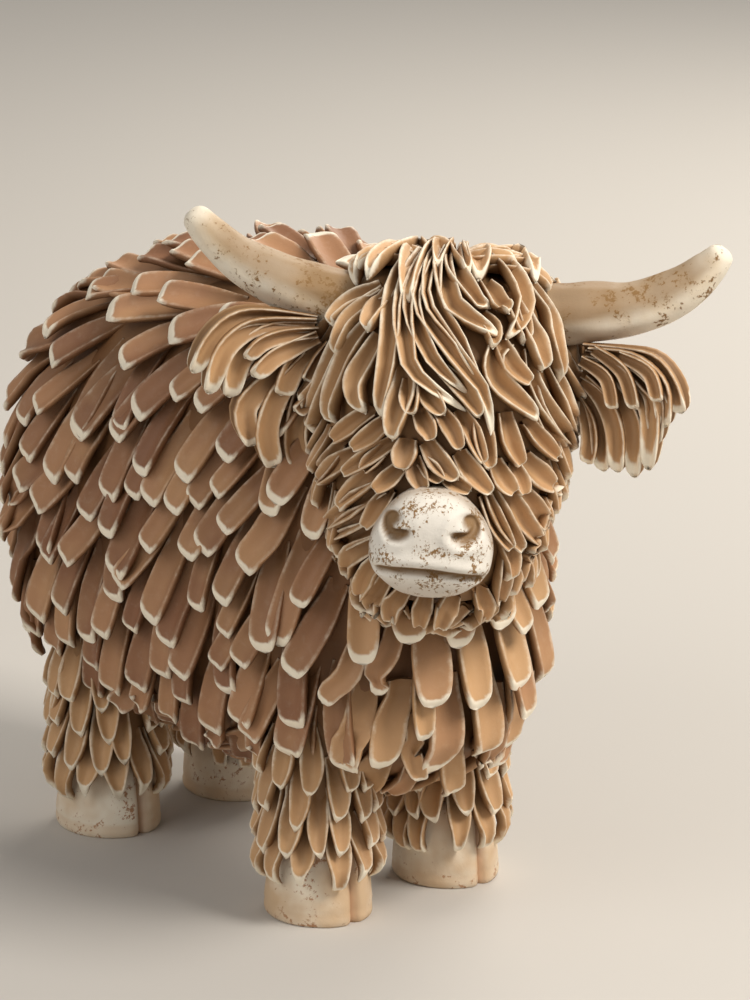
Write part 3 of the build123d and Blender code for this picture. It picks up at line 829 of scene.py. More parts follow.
class COW_OT_legs(bpy.types.Operator):
    """Hang feathering round the four legs"""

    bl_idname = "cow.legs"
    bl_label = "Legs"

    def execute(self, context):
        thickness = context.scene.cow_sizes.lock_thickness / MM
        for name, x, y in feet():
            dice = random.Random(name.replace("_", ""))
            form = Form((x, y, 0), [(1, 0, 0), (0, 1, 0), (0, 0, 1)], LEG_STATIONS, 2.0, 3.0)
            skin = Skin()
            skin.core(form, 32, 10)
            for row, (height, reach, flare) in enumerate(LEG_ROWS):
                for k in range(LEG_COUNT):
                    angle = 360 * (k + 0.5 * (row % 2)) / LEG_COUNT + dice.uniform(-8, 8)
                    sway = dice.uniform(-0.35, 0.35)

                    def flow(share, where, out):
                        aside = Vector((-out.y, out.x, 0)) * sway * (1 - 2 * share)
                        return aside - Vector((0, 0, 1))

                    start = form.point(height, angle)
                    walk = form.glide(start, flow, reach * dice.uniform(0.88, 1.1), WALK_STEPS)
                    wide = LEG_LOCK_WIDTH * dice.uniform(0.85, 1.15)
                    skin.lock(walk, wide, thickness, flare, root=1.8, tone=dice.random(), shape=FEATHER)
            skin.build(f"feathering_{name}", "coat", paint_named("face_paint"), [f"leg_{name}"])
        return {"FINISHED"}


class COW_OT_hooves(bpy.types.Operator):
    """Shape the four cloven hooves"""

    bl_idname = "cow.hooves"
    bl_label = "Hooves"

    def execute(self, context):
        for name, x, y in feet():
            places, rim, shade = [], [], []
            for height, share in HOOF_ROWS:
                wall = 1 if share > 0.5 else 0
                for k in range(HOOF_AROUND):
                    turn = math.tau * k / HOOF_AROUND
                    out_x, out_y = math.cos(turn), math.sin(turn)
                    toe = (turn - 1.5 * math.pi + math.pi) % math.tau - math.pi
                    cleft = hump(toe, CLEFT_ANGLE) * wall
                    lobe = 0.35 * math.cos(2 * toe) * smooth(1.2, 0.3, abs(toe))
                    reach = share * (1 - CLEFT_DEPTH * cleft) + 0.02 * lobe * wall
                    grain = noise.noise(Vector((out_x * 2 + x, out_y * 2 + y, height * 0.35))) * 0.18
                    across = HOOF_HALF_WIDTH * reach + grain * share
                    along = HOOF_HALF_LENGTH * reach + grain * share
                    places.append(Vector((x + out_x * across, y + out_y * along, height)))
                    rim.append(0.5 if 0.5 < height < 3 and cleft < 0.2 else 0.0)
                    shade.append(min(0.9, 0.9 * cleft + 0.5 * smooth(10, 18, height)))
            faces = rings_of_faces(len(HOOF_ROWS), HOOF_AROUND)
            top = (len(HOOF_ROWS) - 1) * HOOF_AROUND
            faces.append(tuple(top + k for k in range(HOOF_AROUND)))
            skin = Skin()
            skin.add(places, faces, rim, shade, 0.5)
            skin.build(f"hoof_{name}_shell", "hoof", paint_named("hoof_paint"), [f"hoof_{name}"])
        return {"FINISHED"}


class Sheet(NamedTuple):
    """A flat sheet facing the eye, with places as steps across and down from its corner in millimetres."""

    left: float
    top: float
    steps: float


# Directions in the photograph's view: to the right, up and towards the eye
LOOK_RIGHT = Vector((0.7593, -0.6508, 0.0))
LOOK_UP = Vector((0.1968, 0.2296, 0.9533))
LOOK_BACK = Vector((-0.6203, -0.7238, 0.3024))
FACE_SHEET = Sheet(5.6, 132.1, 18.9)
BODY_SHEET = Sheet(-58.24, 181.06, 4.7)
# A lock of the face that starts above this place on the face sheet comes from behind the crest
CREST = 150

# The locks of the forelock, as read off: places on the face sheet from root to tip, and a width
FRINGE_STRANDS = [
    ([(545, 95), (440, 90), (340, 110), (270, 165), (245, 270)], 80),
    ([(540, 105), (440, 125), (350, 180), (295, 260)], 100),
    ([(535, 100), (470, 140), (440, 230), (440, 345)], 100),
    ([(470, 95), (420, 78), (365, 88)], 70),
    ([(330, 275), (250, 320), (195, 390), (170, 440)], 75),
    ([(345, 290), (270, 360), (215, 440), (180, 540)], 75),
    ([(250, 390), (185, 480), (145, 620), (118, 740), (112, 840)], 85),
    ([(300, 400), (225, 500), (190, 620), (170, 720), (178, 790)], 85),
    ([(365, 290), (330, 370), (298, 462)], 85),
    ([(330, 460), (280, 560), (258, 650), (285, 755)], 95),
    ([(490, 120), (420, 220), (390, 330), (372, 540), (348, 690), (338, 772)], 85),
    ([(420, 520), (425, 640), (400, 750), (385, 850)], 105),
    ([(515, 120), (450, 230), (428, 350), (430, 480), (475, 610), (640, 745)], 85),
    ([(530, 120), (475, 230), (455, 340), (480, 470), (560, 590), (650, 680)], 75),
    ([(545, 125), (500, 230), (490, 350), (590, 530), (690, 650), (735, 845)], 80),
    ([(558, 130), (525, 220), (530, 350), (600, 470), (700, 640)], 80),
    ([(575, 120), (560, 220), (590, 340), (660, 420), (760, 478)], 85),
    ([(605, 125), (605, 230), (650, 310), (728, 365)], 80),
    ([(590, 100), (560, 140), (540, 220)], 80),
    ([(620, 105), (625, 180), (655, 260)], 70),
    ([(740, 140), (810, 220), (842, 320), (828, 420), (790, 482)], 80),
    ([(720, 260), (740, 320), (790, 390)], 75),
    ([(700, 380), (730, 440), (740, 520)], 75),
    ([(800, 290), (830, 400), (855, 500)], 85),
    ([(770, 480), (800, 570), (860, 640)], 85),
    ([(560, 590), (640, 670), (690, 770)], 80),
    ([(480, 620), (520, 700), (565, 760)], 85),
    ([(440, 620), (445, 690), (455, 760)], 85),
    ([(800, 480), (745, 540), (750, 620), (820, 700), (905, 780)], 95),
    ([(850, 330), (870, 430), (890, 510), (905, 590)], 90),
    ([(735, 125), (800, 105), (860, 165), (897, 272)], 95),
    ([(890, 260), (945, 370), (955, 480), (985, 635)], 75),
    ([(920, 250), (990, 340), (1025, 450), (1040, 598)], 80),
    ([(960, 260), (1040, 350), (1085, 470), (1090, 580), (1060, 690), (1025, 770)], 80),
    ([(880, 220), (950, 205), (1000, 160), (1018, 100)], 80),
    ([(930, 230), (1010, 215), (1080, 245), (1110, 270)], 80),
    ([(880, 520), (885, 620), (930, 740), (1010, 850), (1060, 950)], 75),
    ([(960, 560), (990, 660), (1000, 760), (1040, 850)], 75),
    ([(890, 640), (915, 760), (985, 900), (1045, 1010), (1050, 1115)], 75),
    ([(1010, 640), (1030, 740), (1065, 830), (1088, 905)], 75),
    ([(1090, 560), (1105, 660), (1125, 780), (1120, 940)], 70),
    ([(680, 105), (690, 180), (692, 268)], 115),
]

# The shorter locks of the brow, cheeks and chin, in the same way
CHEEK_STRANDS = [
    ([(790, 750), (800, 850), (838, 955)], 85),
    ([(870, 780), (910, 850), (955, 920)], 75),
    ([(700, 740), (705, 850), (725, 965)], 90),
    ([(620, 740), (665, 830), (700, 940)], 75),
    ([(545, 740), (590, 810), (622, 888)], 80),
    ([(470, 740), (500, 800), (525, 852)], 85),
    ([(370, 770), (310, 830), (248, 888)], 80),
    ([(300, 740), (230, 800), (178, 858)], 80),
    ([(375, 860), (300, 915), (220, 985)], 75),
    ([(240, 900), (180, 950), (138, 1015)], 85),
    ([(190, 860), (150, 950), (120, 1030)], 85),
    ([(330, 960), (270, 1020), (205, 1108)], 90),
    ([(340, 1030), (250, 1090), (150, 1180)], 90),
    ([(320, 1110), (250, 1150), (170, 1220)], 90),
    ([(330, 1180), (230, 1220), (150, 1290), (165, 1345)], 95),
    ([(320, 1240), (240, 1290), (235, 1370)], 90),
    ([(330, 1300), (290, 1370), (300, 1430)], 85),
    ([(430, 850), (425, 900), (420, 965)], 105),
    ([(350, 880), (310, 930), (285, 975)], 70),
    ([(500, 860), (545, 930), (612, 1000)], 95),
    ([(480, 930), (520, 965), (560, 1008)], 80),
    ([(410, 950), (370, 1000), (328, 1045)], 80),
    ([(620, 900), (660, 970), (728, 1055)], 90),
    ([(560, 980), (600, 1010), (660, 1045)], 75),
    ([(750, 930), (770, 1000), (800, 1050)], 90),
    ([(820, 940), (830, 1000), (835, 1060)], 80),
    ([(860, 920), (900, 980), (950, 1030)], 105),
    ([(735, 1040), (765, 1140), (830, 1270)], 85),
    ([(785, 1030), (830, 1130), (900, 1245)], 90),
    ([(715, 1060), (745, 1160), (785, 1260)], 80),
    ([(775, 1190), (795, 1280), (780, 1370)], 80),
    ([(450, 920), (470, 980), (500, 1045)], 90),
    ([(365, 1040), (330, 1110), (295, 1180)], 80),
    ([(840, 1030), (885, 1110), (945, 1205)], 90),
    ([(950, 1030), (985, 1140), (1000, 1290)], 100),
    ([(1010, 1100), (1045, 1160), (1072, 1230)], 85),
    ([(800, 1260), (770, 1370), (730, 1470)], 80),
    ([(830, 1260), (840, 1360), (800, 1440)], 75),
    ([(880, 1260), (895, 1340), (860, 1420)], 75),
    ([(930, 1270), (950, 1340), (915, 1400)], 80),
    ([(990, 1270), (1010, 1340), (970, 1395)], 85),
    ([(700, 1420), (700, 1460), (690, 1510)], 85),
    ([(600, 1440), (570, 1480), (540, 1520)], 95),
    ([(500, 1440), (490, 1480), (480, 1520)], 85),
    ([(420, 1420), (390, 1470), (380, 1510)], 85),
    ([(350, 1380), (330, 1440), (330, 1490)], 85),
]


def looked_at(sheet, spot):
    """The place on a sheet through the middle of the stance."""
    across = sheet.left + spot[0] / sheet.steps
    return LOOK_RIGHT * across + LOOK_UP * (sheet.top - spot[1] / sheet.steps)


def on_plane(sheet, spot, place, out):
    """Where a plane through a place, facing out, is met behind a spot on a sheet."""
    start = looked_at(sheet, spot)
    return start + LOOK_BACK * ((place - start).dot(out) / LOOK_BACK.dot(out))


def eased(spots, share):
    """A place on a smooth curve through the spots."""
    ends = np.array([spots[0]] + list(spots) + [spots[-1]], float)
    at = min(share * (len(spots) - 1), len(spots) - 1 - 1e-6)
    k = int(at)
    t = at - k
    a, b, c, d = ends[k : k + 4]
    return 0.5 * (2 * b + (c - a) * t + (2 * a - 5 * b + 4 * c - d) * t**2 + (3 * b - a - 3 * c + d) * t**3)


def seen_on(form, start):
    """The place on the skin nearest the eye behind a place on a sheet, and the normal there."""
    middle = form.origin.dot(LOOK_BACK)
    outside, nearest = None, (9.0, middle)
    for step in range(34):
        out = middle + 50 - 3 * step
        level = form.level(form.to_local(start + LOOK_BACK * out))
        nearest = min(nearest, (level, out))
        if level < 1:
            outside = out + 3
            break
    if outside is None:
        return form.settle(start + LOOK_BACK * nearest[1])
    inside = outside - 3
    for _ in range(9):
        out = (inside + outside) / 2
        if form.level(form.to_local(start + LOOK_BACK * out)) < 1:
            inside = out
        else:
            outside = out
    return form.settle(start + LOOK_BACK * inside)


def headed(track):
    """A walk through places with normals, with the heading at each."""
    walk = []
    for step, (place, normal) in enumerate(track):
        before = track[max(0, step - 1)][0]
        after = track[min(len(track) - 1, step + 1)][0]
        heading = after - before
        heading = (heading - normal * heading.dot(normal)).normalized()
        walk.append((place, normal, heading))
    return walk


def face_walk(form, spots, steps=18):
    """A walk over the head through places on the face sheet."""
    curve = [eased(spots, k / steps) for k in range(steps + 1)]
    track = [seen_on(form, looked_at(FACE_SHEET, spot)) for spot in curve]
    if spots[0][1] < CREST:
        behind = [form.settle(track[0][0] + head_turn(0, back, 1.0)) for back in (7.0, 4.5, 2.2)]
        track = behind + track
    return headed(track)


def face_locks(skin, form, dice, strands, thickness, lifts):
    """Locks along strands of the face, the longer ones as curls."""
    for number, (spots, wide) in enumerate(strands):
        shape, stops = (CURL, LONG_STOPS) if len(spots) > 3 else (FEATHER, LOCK_STOPS)
        walk = face_walk(form, spots)
        width = wide / FACE_SHEET.steps
        lift = spread(number, *lifts)
        skin.lock(walk, width, thickness, lift, root=0.8, tone=dice.random(), shape=shape, stops=stops)


# The locks of the head: how often a root is tried, how close roots may lie, and a lock's width
HEAD_TRIES = 7000
HEAD_APART = (3.9, 5.4)
HEAD_LOCK_WIDTH = 4.7
# The oval round the muzzle that has no locks: height of its middle, and half sizes
BARE_HEIGHT = -18.0
BARE_HALF_WIDTH = 12.0
BARE_HALF_HEIGHT = 10.5


class COW_OT_head(bpy.types.Operator):
    """Cover the cheeks, chin and back of the head with locks"""

    bl_idname = "cow.head"
    bl_label = "Head coat"

    def execute(self, context):
        sizes = context.scene.cow_sizes
        form = head_form()
        dice = random.Random(23)
        length, thickness = sizes.face_lock_length / MM, sizes.lock_thickness / MM
        up = head_turn(0, 0, 1)
        left = head_turn(1, 0, 0)
        ahead = head_turn(0, -1, 0)

        def flow(share, place, normal):
            local = form.to_local(place)
            aside = 0.35 * max(-1, min(1, local.x / 16))
            return left * aside - up

        def keep(place, normal):
            local = form.to_local(place)
            front = normal.dot(ahead) > 0.25
            muzzle = math.hypot(local.x / BARE_HALF_WIDTH, (local.z - BARE_HEIGHT) / BARE_HALF_HEIGHT)
            in_neck = place.y > -44 and local.y > 6
            traced = normal.dot(LOOK_BACK) >= 0.3
            return local.z < 26 and not traced and not (front and muzzle < 1) and not in_neck

        axis = form.along
        roots = scatter(form, dice, HEAD_TRIES, (axis[0], axis[-1]), flow, *HEAD_APART, keep)
        skin = Skin()
        skin.core(form)
        for place, normal, _ in roots:
            size = dice.uniform(0.82, 1.15)
            sway = dice.uniform(-0.35, 0.35)
            bend = dice.uniform(-0.9, 0.9)

            def waved(share, where, out):
                return flow(share, where, out) + left * (sway + bend * share)

            walk = form.glide(place, waved, length * size, WALK_STEPS)
            wide = HEAD_LOCK_WIDTH * size * dice.uniform(0.85, 1.15)
            stand = sizes.lock_lift / MM * dice.uniform(0.6, 1.1)
            skin.lock(walk, wide, thickness * 1.1, stand, root=1.4, tone=dice.random(), shape=FEATHER)
        face_locks(skin, form, dice, CHEEK_STRANDS, thickness * 1.3, (1.6, 3.2))
        skin.build("head_coat", "coat", paint_named("face_paint"), ["head"])
        return {"FINISHED"}


# Locks that fall behind the crown, and short ones that cover it out to a radius
NAPE_COUNT = 22
CROWN_COUNT = 15
CROWN_RADIUS = 8.0


class COW_OT_forelock(bpy.types.Operator):
    """Let the long waved locks fall from the crown over the brow"""

    bl_idname = "cow.forelock"
    bl_label = "Forelock"

    def execute(self, context):
        sizes = context.scene.cow_sizes
        form = head_form()
        dice = random.Random(5)
        skin = Skin()
        width = sizes.forelock_width / MM
        thickness = sizes.lock_thickness / MM * 1.15
        face_locks(skin, form, dice, FRINGE_STRANDS, thickness * 1.25, (1.6, 3.4))

        def fall(turn, bend, wave, drop):
            """A flow out from the crown that sways aside by a wave and drops."""
            out = head_turn(math.cos(turn), math.sin(turn), 0)
            aside = head_turn(-math.sin(turn), math.cos(turn), 0)

            def flow(share, where, normal):
                return out + aside * (bend * wave(share)) - head_turn(0, 0, drop(share))

            return flow

        for k in range(NAPE_COUNT):
            angle = between(12, 168, k / (NAPE_COUNT - 1)) + dice.uniform(-4, 4)
            bend = dice.uniform(-0.6, 0.6)
            flow = fall(math.radians(angle), bend, lambda t: math.sin(math.tau * t), lambda t: 0.6 + t)
            start = form.point(form.along[-1] + 2.0 - 2.0 * (k % 3), angle)
            walk = form.glide(start, flow, dice.uniform(19, 27), 14)
            wide = width * dice.uniform(1.0, 1.3)
            lift = dice.uniform(2.6, 4.4)
            skin.lock(walk, wide, thickness, lift, root=0.8, tone=dice.random(), shape=CURL)
        for k in range(CROWN_COUNT):
            turn = math.radians(spread(k, -15, 195))
            near = CROWN_RADIUS * math.sqrt(k / CROWN_COUNT)
            flow = fall(turn, dice.uniform(-0.8, 0.8), lambda t: t, lambda t: 0.4 * t)
            start, _ = form.settle(head_place(near * math.cos(turn), near * math.sin(turn) + 3, 39))
            walk = form.glide(start, flow, dice.uniform(11, 15), WALK_STEPS)
            wide = width * dice.uniform(1.1, 1.4)
            lift = dice.uniform(0.8, 2.0)
            skin.lock(walk, wide, thickness, lift, root=1.2, tone=dice.random(), shape=FEATHER)
        skin.build("forelock_locks", "fringe", paint_named("fringe_paint"), ["forelock"])
        return {"FINISHED"}


# Middle of the muzzle on the head's axes, and its half sizes across, ahead and up
MUZZLE_MIDDLE = (0.0, -30.5, -15.8)
MUZZLE_SIZE = (12.6, 8.8, 11.4)
MUZZLE_AROUND = 96
MUZZLE_ROWS = 72
# Power that makes the muzzle fuller than an oval
MUZZLE_FULLNESS = 0.78
# Each nostril is a curled groove with a swelling round it
NOSTRIL_ASIDE = 7.0
NOSTRIL_UP = 4.8
NOSTRIL_RADIUS = 1.7
NOSTRIL_BREADTH = 1.25
NOSTRIL_DEPTH = 3.6
SWELL_RADIUS = 4.2
SWELL_BREADTH = 0.9
SWELL_RISE = 0.55
# The mouth is a groove under a full lip, with the chin set back below it
MOUTH_DOWN = 3.9
MOUTH_BREADTH = 0.85
MOUTH_DEPTH = 2.4
LIP_RISE = 0.8
CHIN_BACK = 1.3


def muzzle_relief(x, z):
    """How deep the front of the muzzle is cut at a place, and how much painted shade it gets there."""
    pit, dark = 0.0, 0.0
    for side in (-1, 1):
        u, v = side * x - NOSTRIL_ASIDE, z - NOSTRIL_UP
        ring = math.hypot(u, v * 1.1)
        curl = smooth(2.9, 2.0, abs(math.atan2(v, u) + 0.6))
        trough = hump(ring - NOSTRIL_RADIUS, NOSTRIL_BREADTH) * curl
        pit = max(pit, NOSTRIL_DEPTH * trough)
        dark = max(dark, smooth(0.15, 0.6, trough))
        pit -= SWELL_RISE * hump(ring - SWELL_RADIUS, SWELL_BREADTH)
    mouth = z + MOUTH_DOWN + 0.010 * x * x + 0.05 * x
    groove = hump(mouth, MOUTH_BREADTH) * smooth(12.5, 9.5, abs(x))
    pit += MOUTH_DEPTH * groove
    dark = max(dark, smooth(0.35, 0.8, groove))
    pit -= LIP_RISE * hump(mouth - 2.0, 1.3)
    pit += CHIN_BACK * smooth(-0.8, -3.5, mouth)
    return pit, max(dark, 0.30 * smooth(-1.5, -5.0, mouth))


class COW_OT_muzzle(bpy.types.Operator):
    """Model the muzzle with its nostrils, mouth and lips"""

    bl_idname = "cow.muzzle"
    bl_label = "Muzzle"

    def execute(self, context):
        places, shade = [], []
        wide, deep, high = MUZZLE_SIZE
        mid_x, mid_y, mid_z = MUZZLE_MIDDLE
        for row in range(1, MUZZLE_ROWS):
            rise = math.pi * (row / MUZZLE_ROWS - 0.5)
            for k in range(MUZZLE_AROUND):
                turn = math.tau * k / MUZZLE_AROUND
                ball = (math.cos(rise) * math.sin(turn), math.cos(rise) * math.cos(turn), math.sin(rise))
                across, ahead, up = (math.copysign(abs(v) ** MUZZLE_FULLNESS, v) for v in ball)
                x, y, z = wide * across, -deep * ahead, high * up
                x *= between(1.0, 0.74, smooth(-0.1, 1.0, up)) * between(1.0, 0.90, smooth(-0.4, -1.0, up))
                pit, dark = muzzle_relief(x, z) if ahead > 0 else (0.0, 0.0)
                dark = max(dark, 0.45 * smooth(0.5, 0.1, ahead))
                bumps = noise.noise(Vector((x, y, z)) * 0.45) * 0.22
                y += pit + bumps
                places.append(head_place(mid_x + x, mid_y + y, mid_z + z))
                # Painted shade in the nostrils, the mouth's groove and under the lip; towards the sides the
                # brown paint blends in
                shade.append(min(0.95, dark * 0.95))
        faces = [face[::-1] for face in rings_of_faces(MUZZLE_ROWS - 1, MUZZLE_AROUND)]
        for ring, sign in ((0, -1), (MUZZLE_ROWS - 2, 1)):
            places.append(head_place(mid_x, mid_y, mid_z + sign * high))
            shade.append(0.0)
            faces += fan_of_faces(ring * MUZZLE_AROUND, MUZZLE_AROUND, len(places) - 1, sign > 0)
        skin = Skin()
        skin.add(places, faces, [0.0] * len(places), shade, 0.0)
        skin.build("muzzle_face", "muzzle", paint_named("muzzle_paint"), ["muzzle"])
        return {"FINISHED"}


# The middle line of each horn from inside the head to the tip, read off the body sheet
HORN_TRACES = {
    "right": [(368, 314), (335, 306), (294, 293), (251, 273), (217, 244), (198, 222)],
    "left": [(542, 323), (575, 321), (620, 317), (664, 301), (694, 279), (710, 260)],
}
HORN_AROUND = 48
HORN_ROWS = 64
# Radius of a horn's tip as a share of its root's, and the stretch at the end that is rounded off
HORN_TIP = 0.36
HORN_ROUND_FROM = 0.92
HORN_ROUND_LENGTH = 0.08


class COW_OT_horns(bpy.types.Operator):
    """Sweep the two horns out and up"""

    bl_idname = "cow.horns"
    bl_label = "Horns"

    def execute(self, context):
        radius = context.scene.cow_sizes.horn_radius / MM
        back = head_turn(0, 1, 0)
        for side, name in ((-1, "right"), (1, "left")):
            spots = [eased(HORN_TRACES[name], k / HORN_ROWS) for k in range(HORN_ROWS + 1)]
            line = [on_plane(BODY_SHEET, spot, head_place(0, 2, 0), back) for spot in spots]
            places, rim, shade = [], [], []
            for row, middle in enumerate(line):
                share = row / HORN_ROWS
                along = (line[min(HORN_ROWS, row + 1)] - line[max(0, row - 1)]).normalized()
                above = along.cross(back) * (-side)
                size = radius * between(1.0, HORN_TIP, share**1.9)
                if share > HORN_ROUND_FROM:
                    size *= math.sqrt(max(0.0, 1 - ((share - HORN_ROUND_FROM) / HORN_ROUND_LENGTH) ** 2))
                for k in range(HORN_AROUND):
                    turn = math.tau * k / HORN_AROUND
                    across, up = math.cos(turn), math.sin(turn)
                    grain = 0.018 * math.sin(turn * 9 + 4 * share) * smooth(0.8, 0.2, share)
                    dent = noise.noise(Vector((across * 1.5, up * 1.5, share * 7 + side))) * 0.06
                    out = size * (1 + grain + dent)
                    places.append(middle + back * (across * out) + above * (up * out))
                    # Paler on top and at the tip: pale dry brush, with a painted highlight on top
                    rim.append(min(1.0, 0.9 * smooth(0.1, 0.75, up) + smooth(0.82, 0.96, share)))
                    # Darker on the underside and at the root: bronze wash and painted shade
                    underside_wash_and_shade = smooth(0.30, -0.40, up) * smooth(1.0, 0.7, share)
                    shade.append(min(0.85, 0.75 * underside_wash_and_shade + 0.45 * smooth(0.40, 0.15, share)))
            faces = rings_of_faces(HORN_ROWS + 1, HORN_AROUND)
            if side > 0:
                faces = [face[::-1] for face in faces]
            root = tuple(range(HORN_AROUND))
            faces.append(root if side > 0 else root[::-1])
            skin = Skin()
            skin.add(places, faces, rim, shade, 0.3)
            skin.build(f"horn_{name}_sweep", "horn", paint_named("horn_paint"), [f"horn_{name}"])
        return {"FINISHED"}


# The locks of each ear, as read off: places on the body sheet from root to tip, a width and a layer
EAR_STRANDS = {
    "left": [
        ([(575, 356), (618, 361), (644, 369), (660, 390), (669, 416)], 19, 0),
        ([(580, 360), (616, 364), (640, 378), (652, 397), (653, 429)], 19, 1),
        ([(577, 362), (612, 371), (636, 387), (646, 407), (645, 445)], 20, 0),
        ([(577, 368), (605, 376), (626, 396), (641, 415), (638, 470)], 20, 1),
        ([(575, 376), (598, 389), (616, 409), (625, 430), (625, 477)], 20, 0),
        ([(575, 384), (591, 399), (603, 417), (609, 440), (609, 472)], 19, 1),
        ([(573, 392), (586, 409), (593, 430), (596, 471)], 18, 0),
        ([(570, 404), (580, 421), (584, 442), (581, 464)], 17, 1),
        ([(572, 366), (598, 382), (606, 412)], 14, 2),
        ([(584, 356), (614, 377), (626, 412)], 14, 2),
        ([(608, 362), (638, 377), (648, 405)], 14, 2),
    ],
    "right": [
        ([(318, 329), (269, 323), (239, 327), (217, 346), (200, 377)], 19, 0),
        ([(318, 332), (269, 332), (244, 341), (226, 361), (215, 397)], 20, 1),
        ([(318, 336), (280, 337), (257, 348), (241, 370), (235, 400)], 23, 0),
        ([(320, 339), (291, 341), (266, 348), (250, 363)], 15, 2),
        ([(320, 343), (296, 353), (276, 362), (257, 380)], 19, 2),
        ([(324, 348), (301, 364), (291, 379), (284, 398)], 23, 1),
        ([(332, 350), (319, 366), (307, 384)], 15, 2),
        ([(310, 360), (272, 385), (248, 412), (258, 446)], 23, 0),
        ([(312, 362), (283, 395), (269, 432), (277, 467)], 23, 1),
        ([(322, 362), (304, 400), (296, 440), (301, 465)], 24, 0),
        ([(330, 370), (312, 400), (297, 413)], 15, 2),
        ([(334, 362), (326, 400), (316, 430), (318, 454)], 24, 1),
    ],
}
# How far an ear leans forward and droops, where it starts on the head, and how its layers stand off
EAR_LEAN = 0.3
EAR_DROOP = 0.55
EAR_ASIDE = 20
EAR_UP = 12
EAR_STAND = 1.2
EAR_LAYER = 1.1
# How far the tips of an ear's locks lift, and how deep their roots lie
EAR_LIFT = 1.2
EAR_ROOT = 0.6
EAR_STEPS = 14


class COW_OT_ears(bpy.types.Operator):
    """Fan the locks of the two drooping ears"""

    bl_idname = "cow.ears"
    bl_label = "Ears"

    def execute(self, context):
        sizes = context.scene.cow_sizes
        reach = sizes.ear_length / MM
        thickness = sizes.lock_thickness / MM
        for side, name in ((-1, "right"), (1, "left")):
            dice = random.Random(name)
            skin = Skin()
            axis = head_turn(side, -EAR_LEAN, -EAR_DROOP).normalized()
            face = head_turn(-side * EAR_LEAN, -1, 0).normalized()
            root = head_place(side * EAR_ASIDE, 0, EAR_UP)
            stations = [(0, 0, 0, 2.2, 5.0), (reach * 0.4, 0, 0, 2.0, 6.0), (reach * 0.62, 0, 0, 1.2, 3.0)]
            skin.core(Form(root, [face, axis.cross(face), axis], stations, 2.0, 3.0), 24, 10)
            for direction in (1, -1):
                for spots, wide, layer in EAR_STRANDS[name]:
                    stand = root + face * (direction * (EAR_STAND + EAR_LAYER * layer))
                    curve = [eased(spots, step / EAR_STEPS) for step in range(EAR_STEPS + 1)]
                    track = [(on_plane(BODY_SHEET, spot, stand, face), face * direction) for spot in curve]
                    width = wide / BODY_SHEET.steps
                    tone = dice.random()
                    skin.lock(headed(track), width, thickness, EAR_LIFT, EAR_ROOT, tone, FAN, LONG_STOPS)
            skin.build(f"ear_{name}_fan", "coat", paint_named("face_paint"), [f"ear_{name}"])
        return {"FINISHED"}


# Where the tail starts, where along it the rows of its locks start, and the size of a lock
TAIL_ROOT = (0, 70, 97)
TAIL_ROWS = (0.04, 0.2, 0.38, 0.56, 0.72)
TAIL_COUNT = 8
TAIL_LOCK_LENGTH = 15
TAIL_LOCK_WIDTH = 5.0
TAIL_LIFT = 1.9


class COW_OT_tail(bpy.types.Operator):
    """Hang the tail with its tuft at the rump"""

    bl_idname = "cow.tail"
    bl_label = "Tail"

    def execute(self, context):
        sizes = context.scene.cow_sizes
        reach, thickness = sizes.tail_length / MM, sizes.lock_thickness / MM * 0.85
        dice = random.Random(3)
        stations = [
            (0, 0, 4, 3.5, 4.5),
            (reach * 0.15, 0, 0, 4, 5),
            (reach * 0.6, 0, -2.5, 5, 5),
            (reach * 0.88, 0, 0, 2.5, 2.5),
        ]
        form = Form(TAIL_ROOT, [(1, 0, 0), (0, -1, 0), (0, 0, -1)], stations, 2.0, 3.0)
        skin = Skin()
        skin.core(form, 24, 16)
        for row, share in enumerate(TAIL_ROWS):
            for k in range(TAIL_COUNT):
                sway = dice.uniform(-0.3, 0.3)

                def flow(t, where, out):
                    return Vector((sway * (1 - 2 * t), 0, -1))

                start = form.point(reach * share, 360 / TAIL_COUNT * (k + 0.5 * row))
                walk = form.glide(start, flow, TAIL_LOCK_LENGTH * dice.uniform(0.9, 1.15), WALK_STEPS)
                wide = TAIL_LOCK_WIDTH * dice.uniform(0.9, 1.15)
                skin.lock(walk, wide, thickness, TAIL_LIFT, root=1.2, tone=dice.random())
        skin.build("tail_tuft", "coat", paint_named("coat_paint"), ["tail"])
        return {"FINISHED"}


# What the camera looks at, in millimetres, how far away it stands, and its lens
VIEW_AIM = (16.4, -14.0, 78.3)
VIEW_DISTANCE = 1500.0
VIEW_LENS = 253.8
SENSOR_WIDTH = 36.0
FLOOR_HALF = 3.0
FLOOR_COLOUR = (0.58, 0.55, 0.51, 1)
WORLD_COLOUR = (0.90, 0.89, 0.87, 1)
WORLD_STRENGTH = 0.32
# Each lamp's place from the aim in metres to the right, up and towards the eye, its size, watts and colour
LAMPS = (
    ("key", (0.55, 0.58, 0.35), 0.35, 8.2, (1.0, 0.95, 0.88)),
    ("fill", (-0.6, 0.35, 0.5), 0.6, 2.0, (1.0, 0.97, 0.93)),
    ("rear", (0.25, 0.55, -0.6), 0.4, 2.8, (1.0, 0.94, 0.85)),
)


def stand_at(name, thing, place, aim):
    """A lamp or camera at a place, turned towards the aim."""
    stand = bpy.data.objects.new(name, thing)
    stand.location = place
    stand.rotation_euler = (aim - stand.location).to_track_quat("-Z", "Y").to_euler()
    bpy.context.scene.collection.objects.link(stand)
    return stand


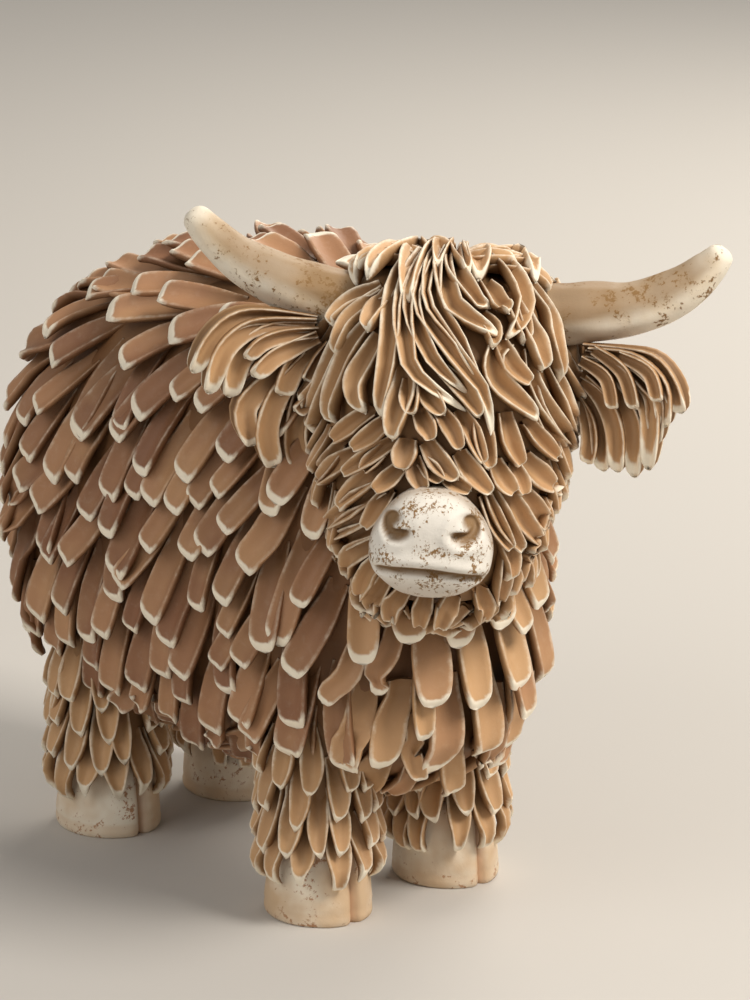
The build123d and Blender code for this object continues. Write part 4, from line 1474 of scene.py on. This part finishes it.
class COW_OT_stage(bpy.types.Operator):
    """Set the pale floor, the soft lamps and the camera"""

    bl_idname = "cow.stage"
    bl_label = "Stage"

    def execute(self, context):
        scene = context.scene
        scene.view_settings.view_transform = "Standard"
        mesh = bpy.data.meshes.new("floor")
        corners = [(x * FLOOR_HALF, y * FLOOR_HALF, 0) for x, y in ((-1, -1), (1, -1), (1, 1), (-1, 1))]
        mesh.from_pydata(corners, [], [(0, 1, 2, 3)])
        floor = bpy.data.objects.new("floor", mesh)
        scene.collection.objects.link(floor)
        paint = Paint("floor_paint")
        paint.feed(paint.surface["Base Color"], FLOOR_COLOUR)
        paint.feed(paint.surface["Roughness"], 0.8)
        mesh.materials.append(paint.material)
        floor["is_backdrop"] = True

        scene.world = bpy.data.worlds.new("studio")
        scene.world.use_nodes = True
        background = scene.world.node_tree.nodes["Background"].inputs
        background["Color"].default_value = WORLD_COLOUR
        background["Strength"].default_value = WORLD_STRENGTH

        aim = Vector(np.array(VIEW_AIM) * MM + SHIFT)
        for name, (right, up, near), size, power, colour in LAMPS:
            lamp = bpy.data.lights.new(name, "AREA")
            lamp.energy = power
            lamp.size = size
            lamp.color = colour
            stand_at(name, lamp, aim + LOOK_RIGHT * right + Vector((0, 0, up)) + LOOK_BACK * near, aim)

        eye = bpy.data.cameras.new("photo_view")
        eye.lens = VIEW_LENS
        eye.sensor_width = SENSOR_WIDTH
        eye.clip_end = 20.0
        place = aim + LOOK_BACK.normalized() * (VIEW_DISTANCE * MM)
        scene.camera = stand_at("photo_view", eye, place, aim)
        return {"FINISHED"}


PIECES = (
    COW_OT_body,
    COW_OT_legs,
    COW_OT_hooves,
    COW_OT_head,
    COW_OT_forelock,
    COW_OT_muzzle,
    COW_OT_horns,
    COW_OT_ears,
    COW_OT_tail,
    COW_OT_stage,
)


class COW_PT_panel(bpy.types.Panel):
    """Lists the pieces of the cow with its sizes and colours"""

    bl_idname = "COW_PT_panel"
    bl_label = "Highland cow"
    bl_space_type = "VIEW_3D"
    bl_region_type = "UI"
    bl_category = "Cow"

    def draw(self, context):
        for piece in PIECES:
            self.layout.operator(piece.bl_idname)
        for group in (context.scene.cow_sizes, context.scene.cow_paint):
            for label in group.bl_rna.properties.keys():
                if label not in ("rna_type", "name"):
                    self.layout.prop(group, label)


CLASSES = (CowSizes, CowPaint, *PIECES, COW_PT_panel)


def register():
    for one in CLASSES:
        bpy.utils.register_class(one)
    bpy.types.Scene.cow_sizes = bpy.props.PointerProperty(type=CowSizes)
    bpy.types.Scene.cow_paint = bpy.props.PointerProperty(type=CowPaint)


def unregister():
    del bpy.types.Scene.cow_paint
    del bpy.types.Scene.cow_sizes
    for one in reversed(CLASSES):
        bpy.utils.unregister_class(one)


def main():
    register()
    bpy.ops.cow.body()
    bpy.ops.cow.legs()
    bpy.ops.cow.hooves()
    bpy.ops.cow.head()
    bpy.ops.cow.forelock()
    bpy.ops.cow.muzzle()
    bpy.ops.cow.horns()
    bpy.ops.cow.ears()
    bpy.ops.cow.tail()
    bpy.ops.cow.stage()
    boxes = {"cad": CAD_BOX, "look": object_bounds()}
    plain = {name: [[float(v) for v in corner] for corner in box] for name, box in boxes.items()}


if __name__ == "__main__":
    main()
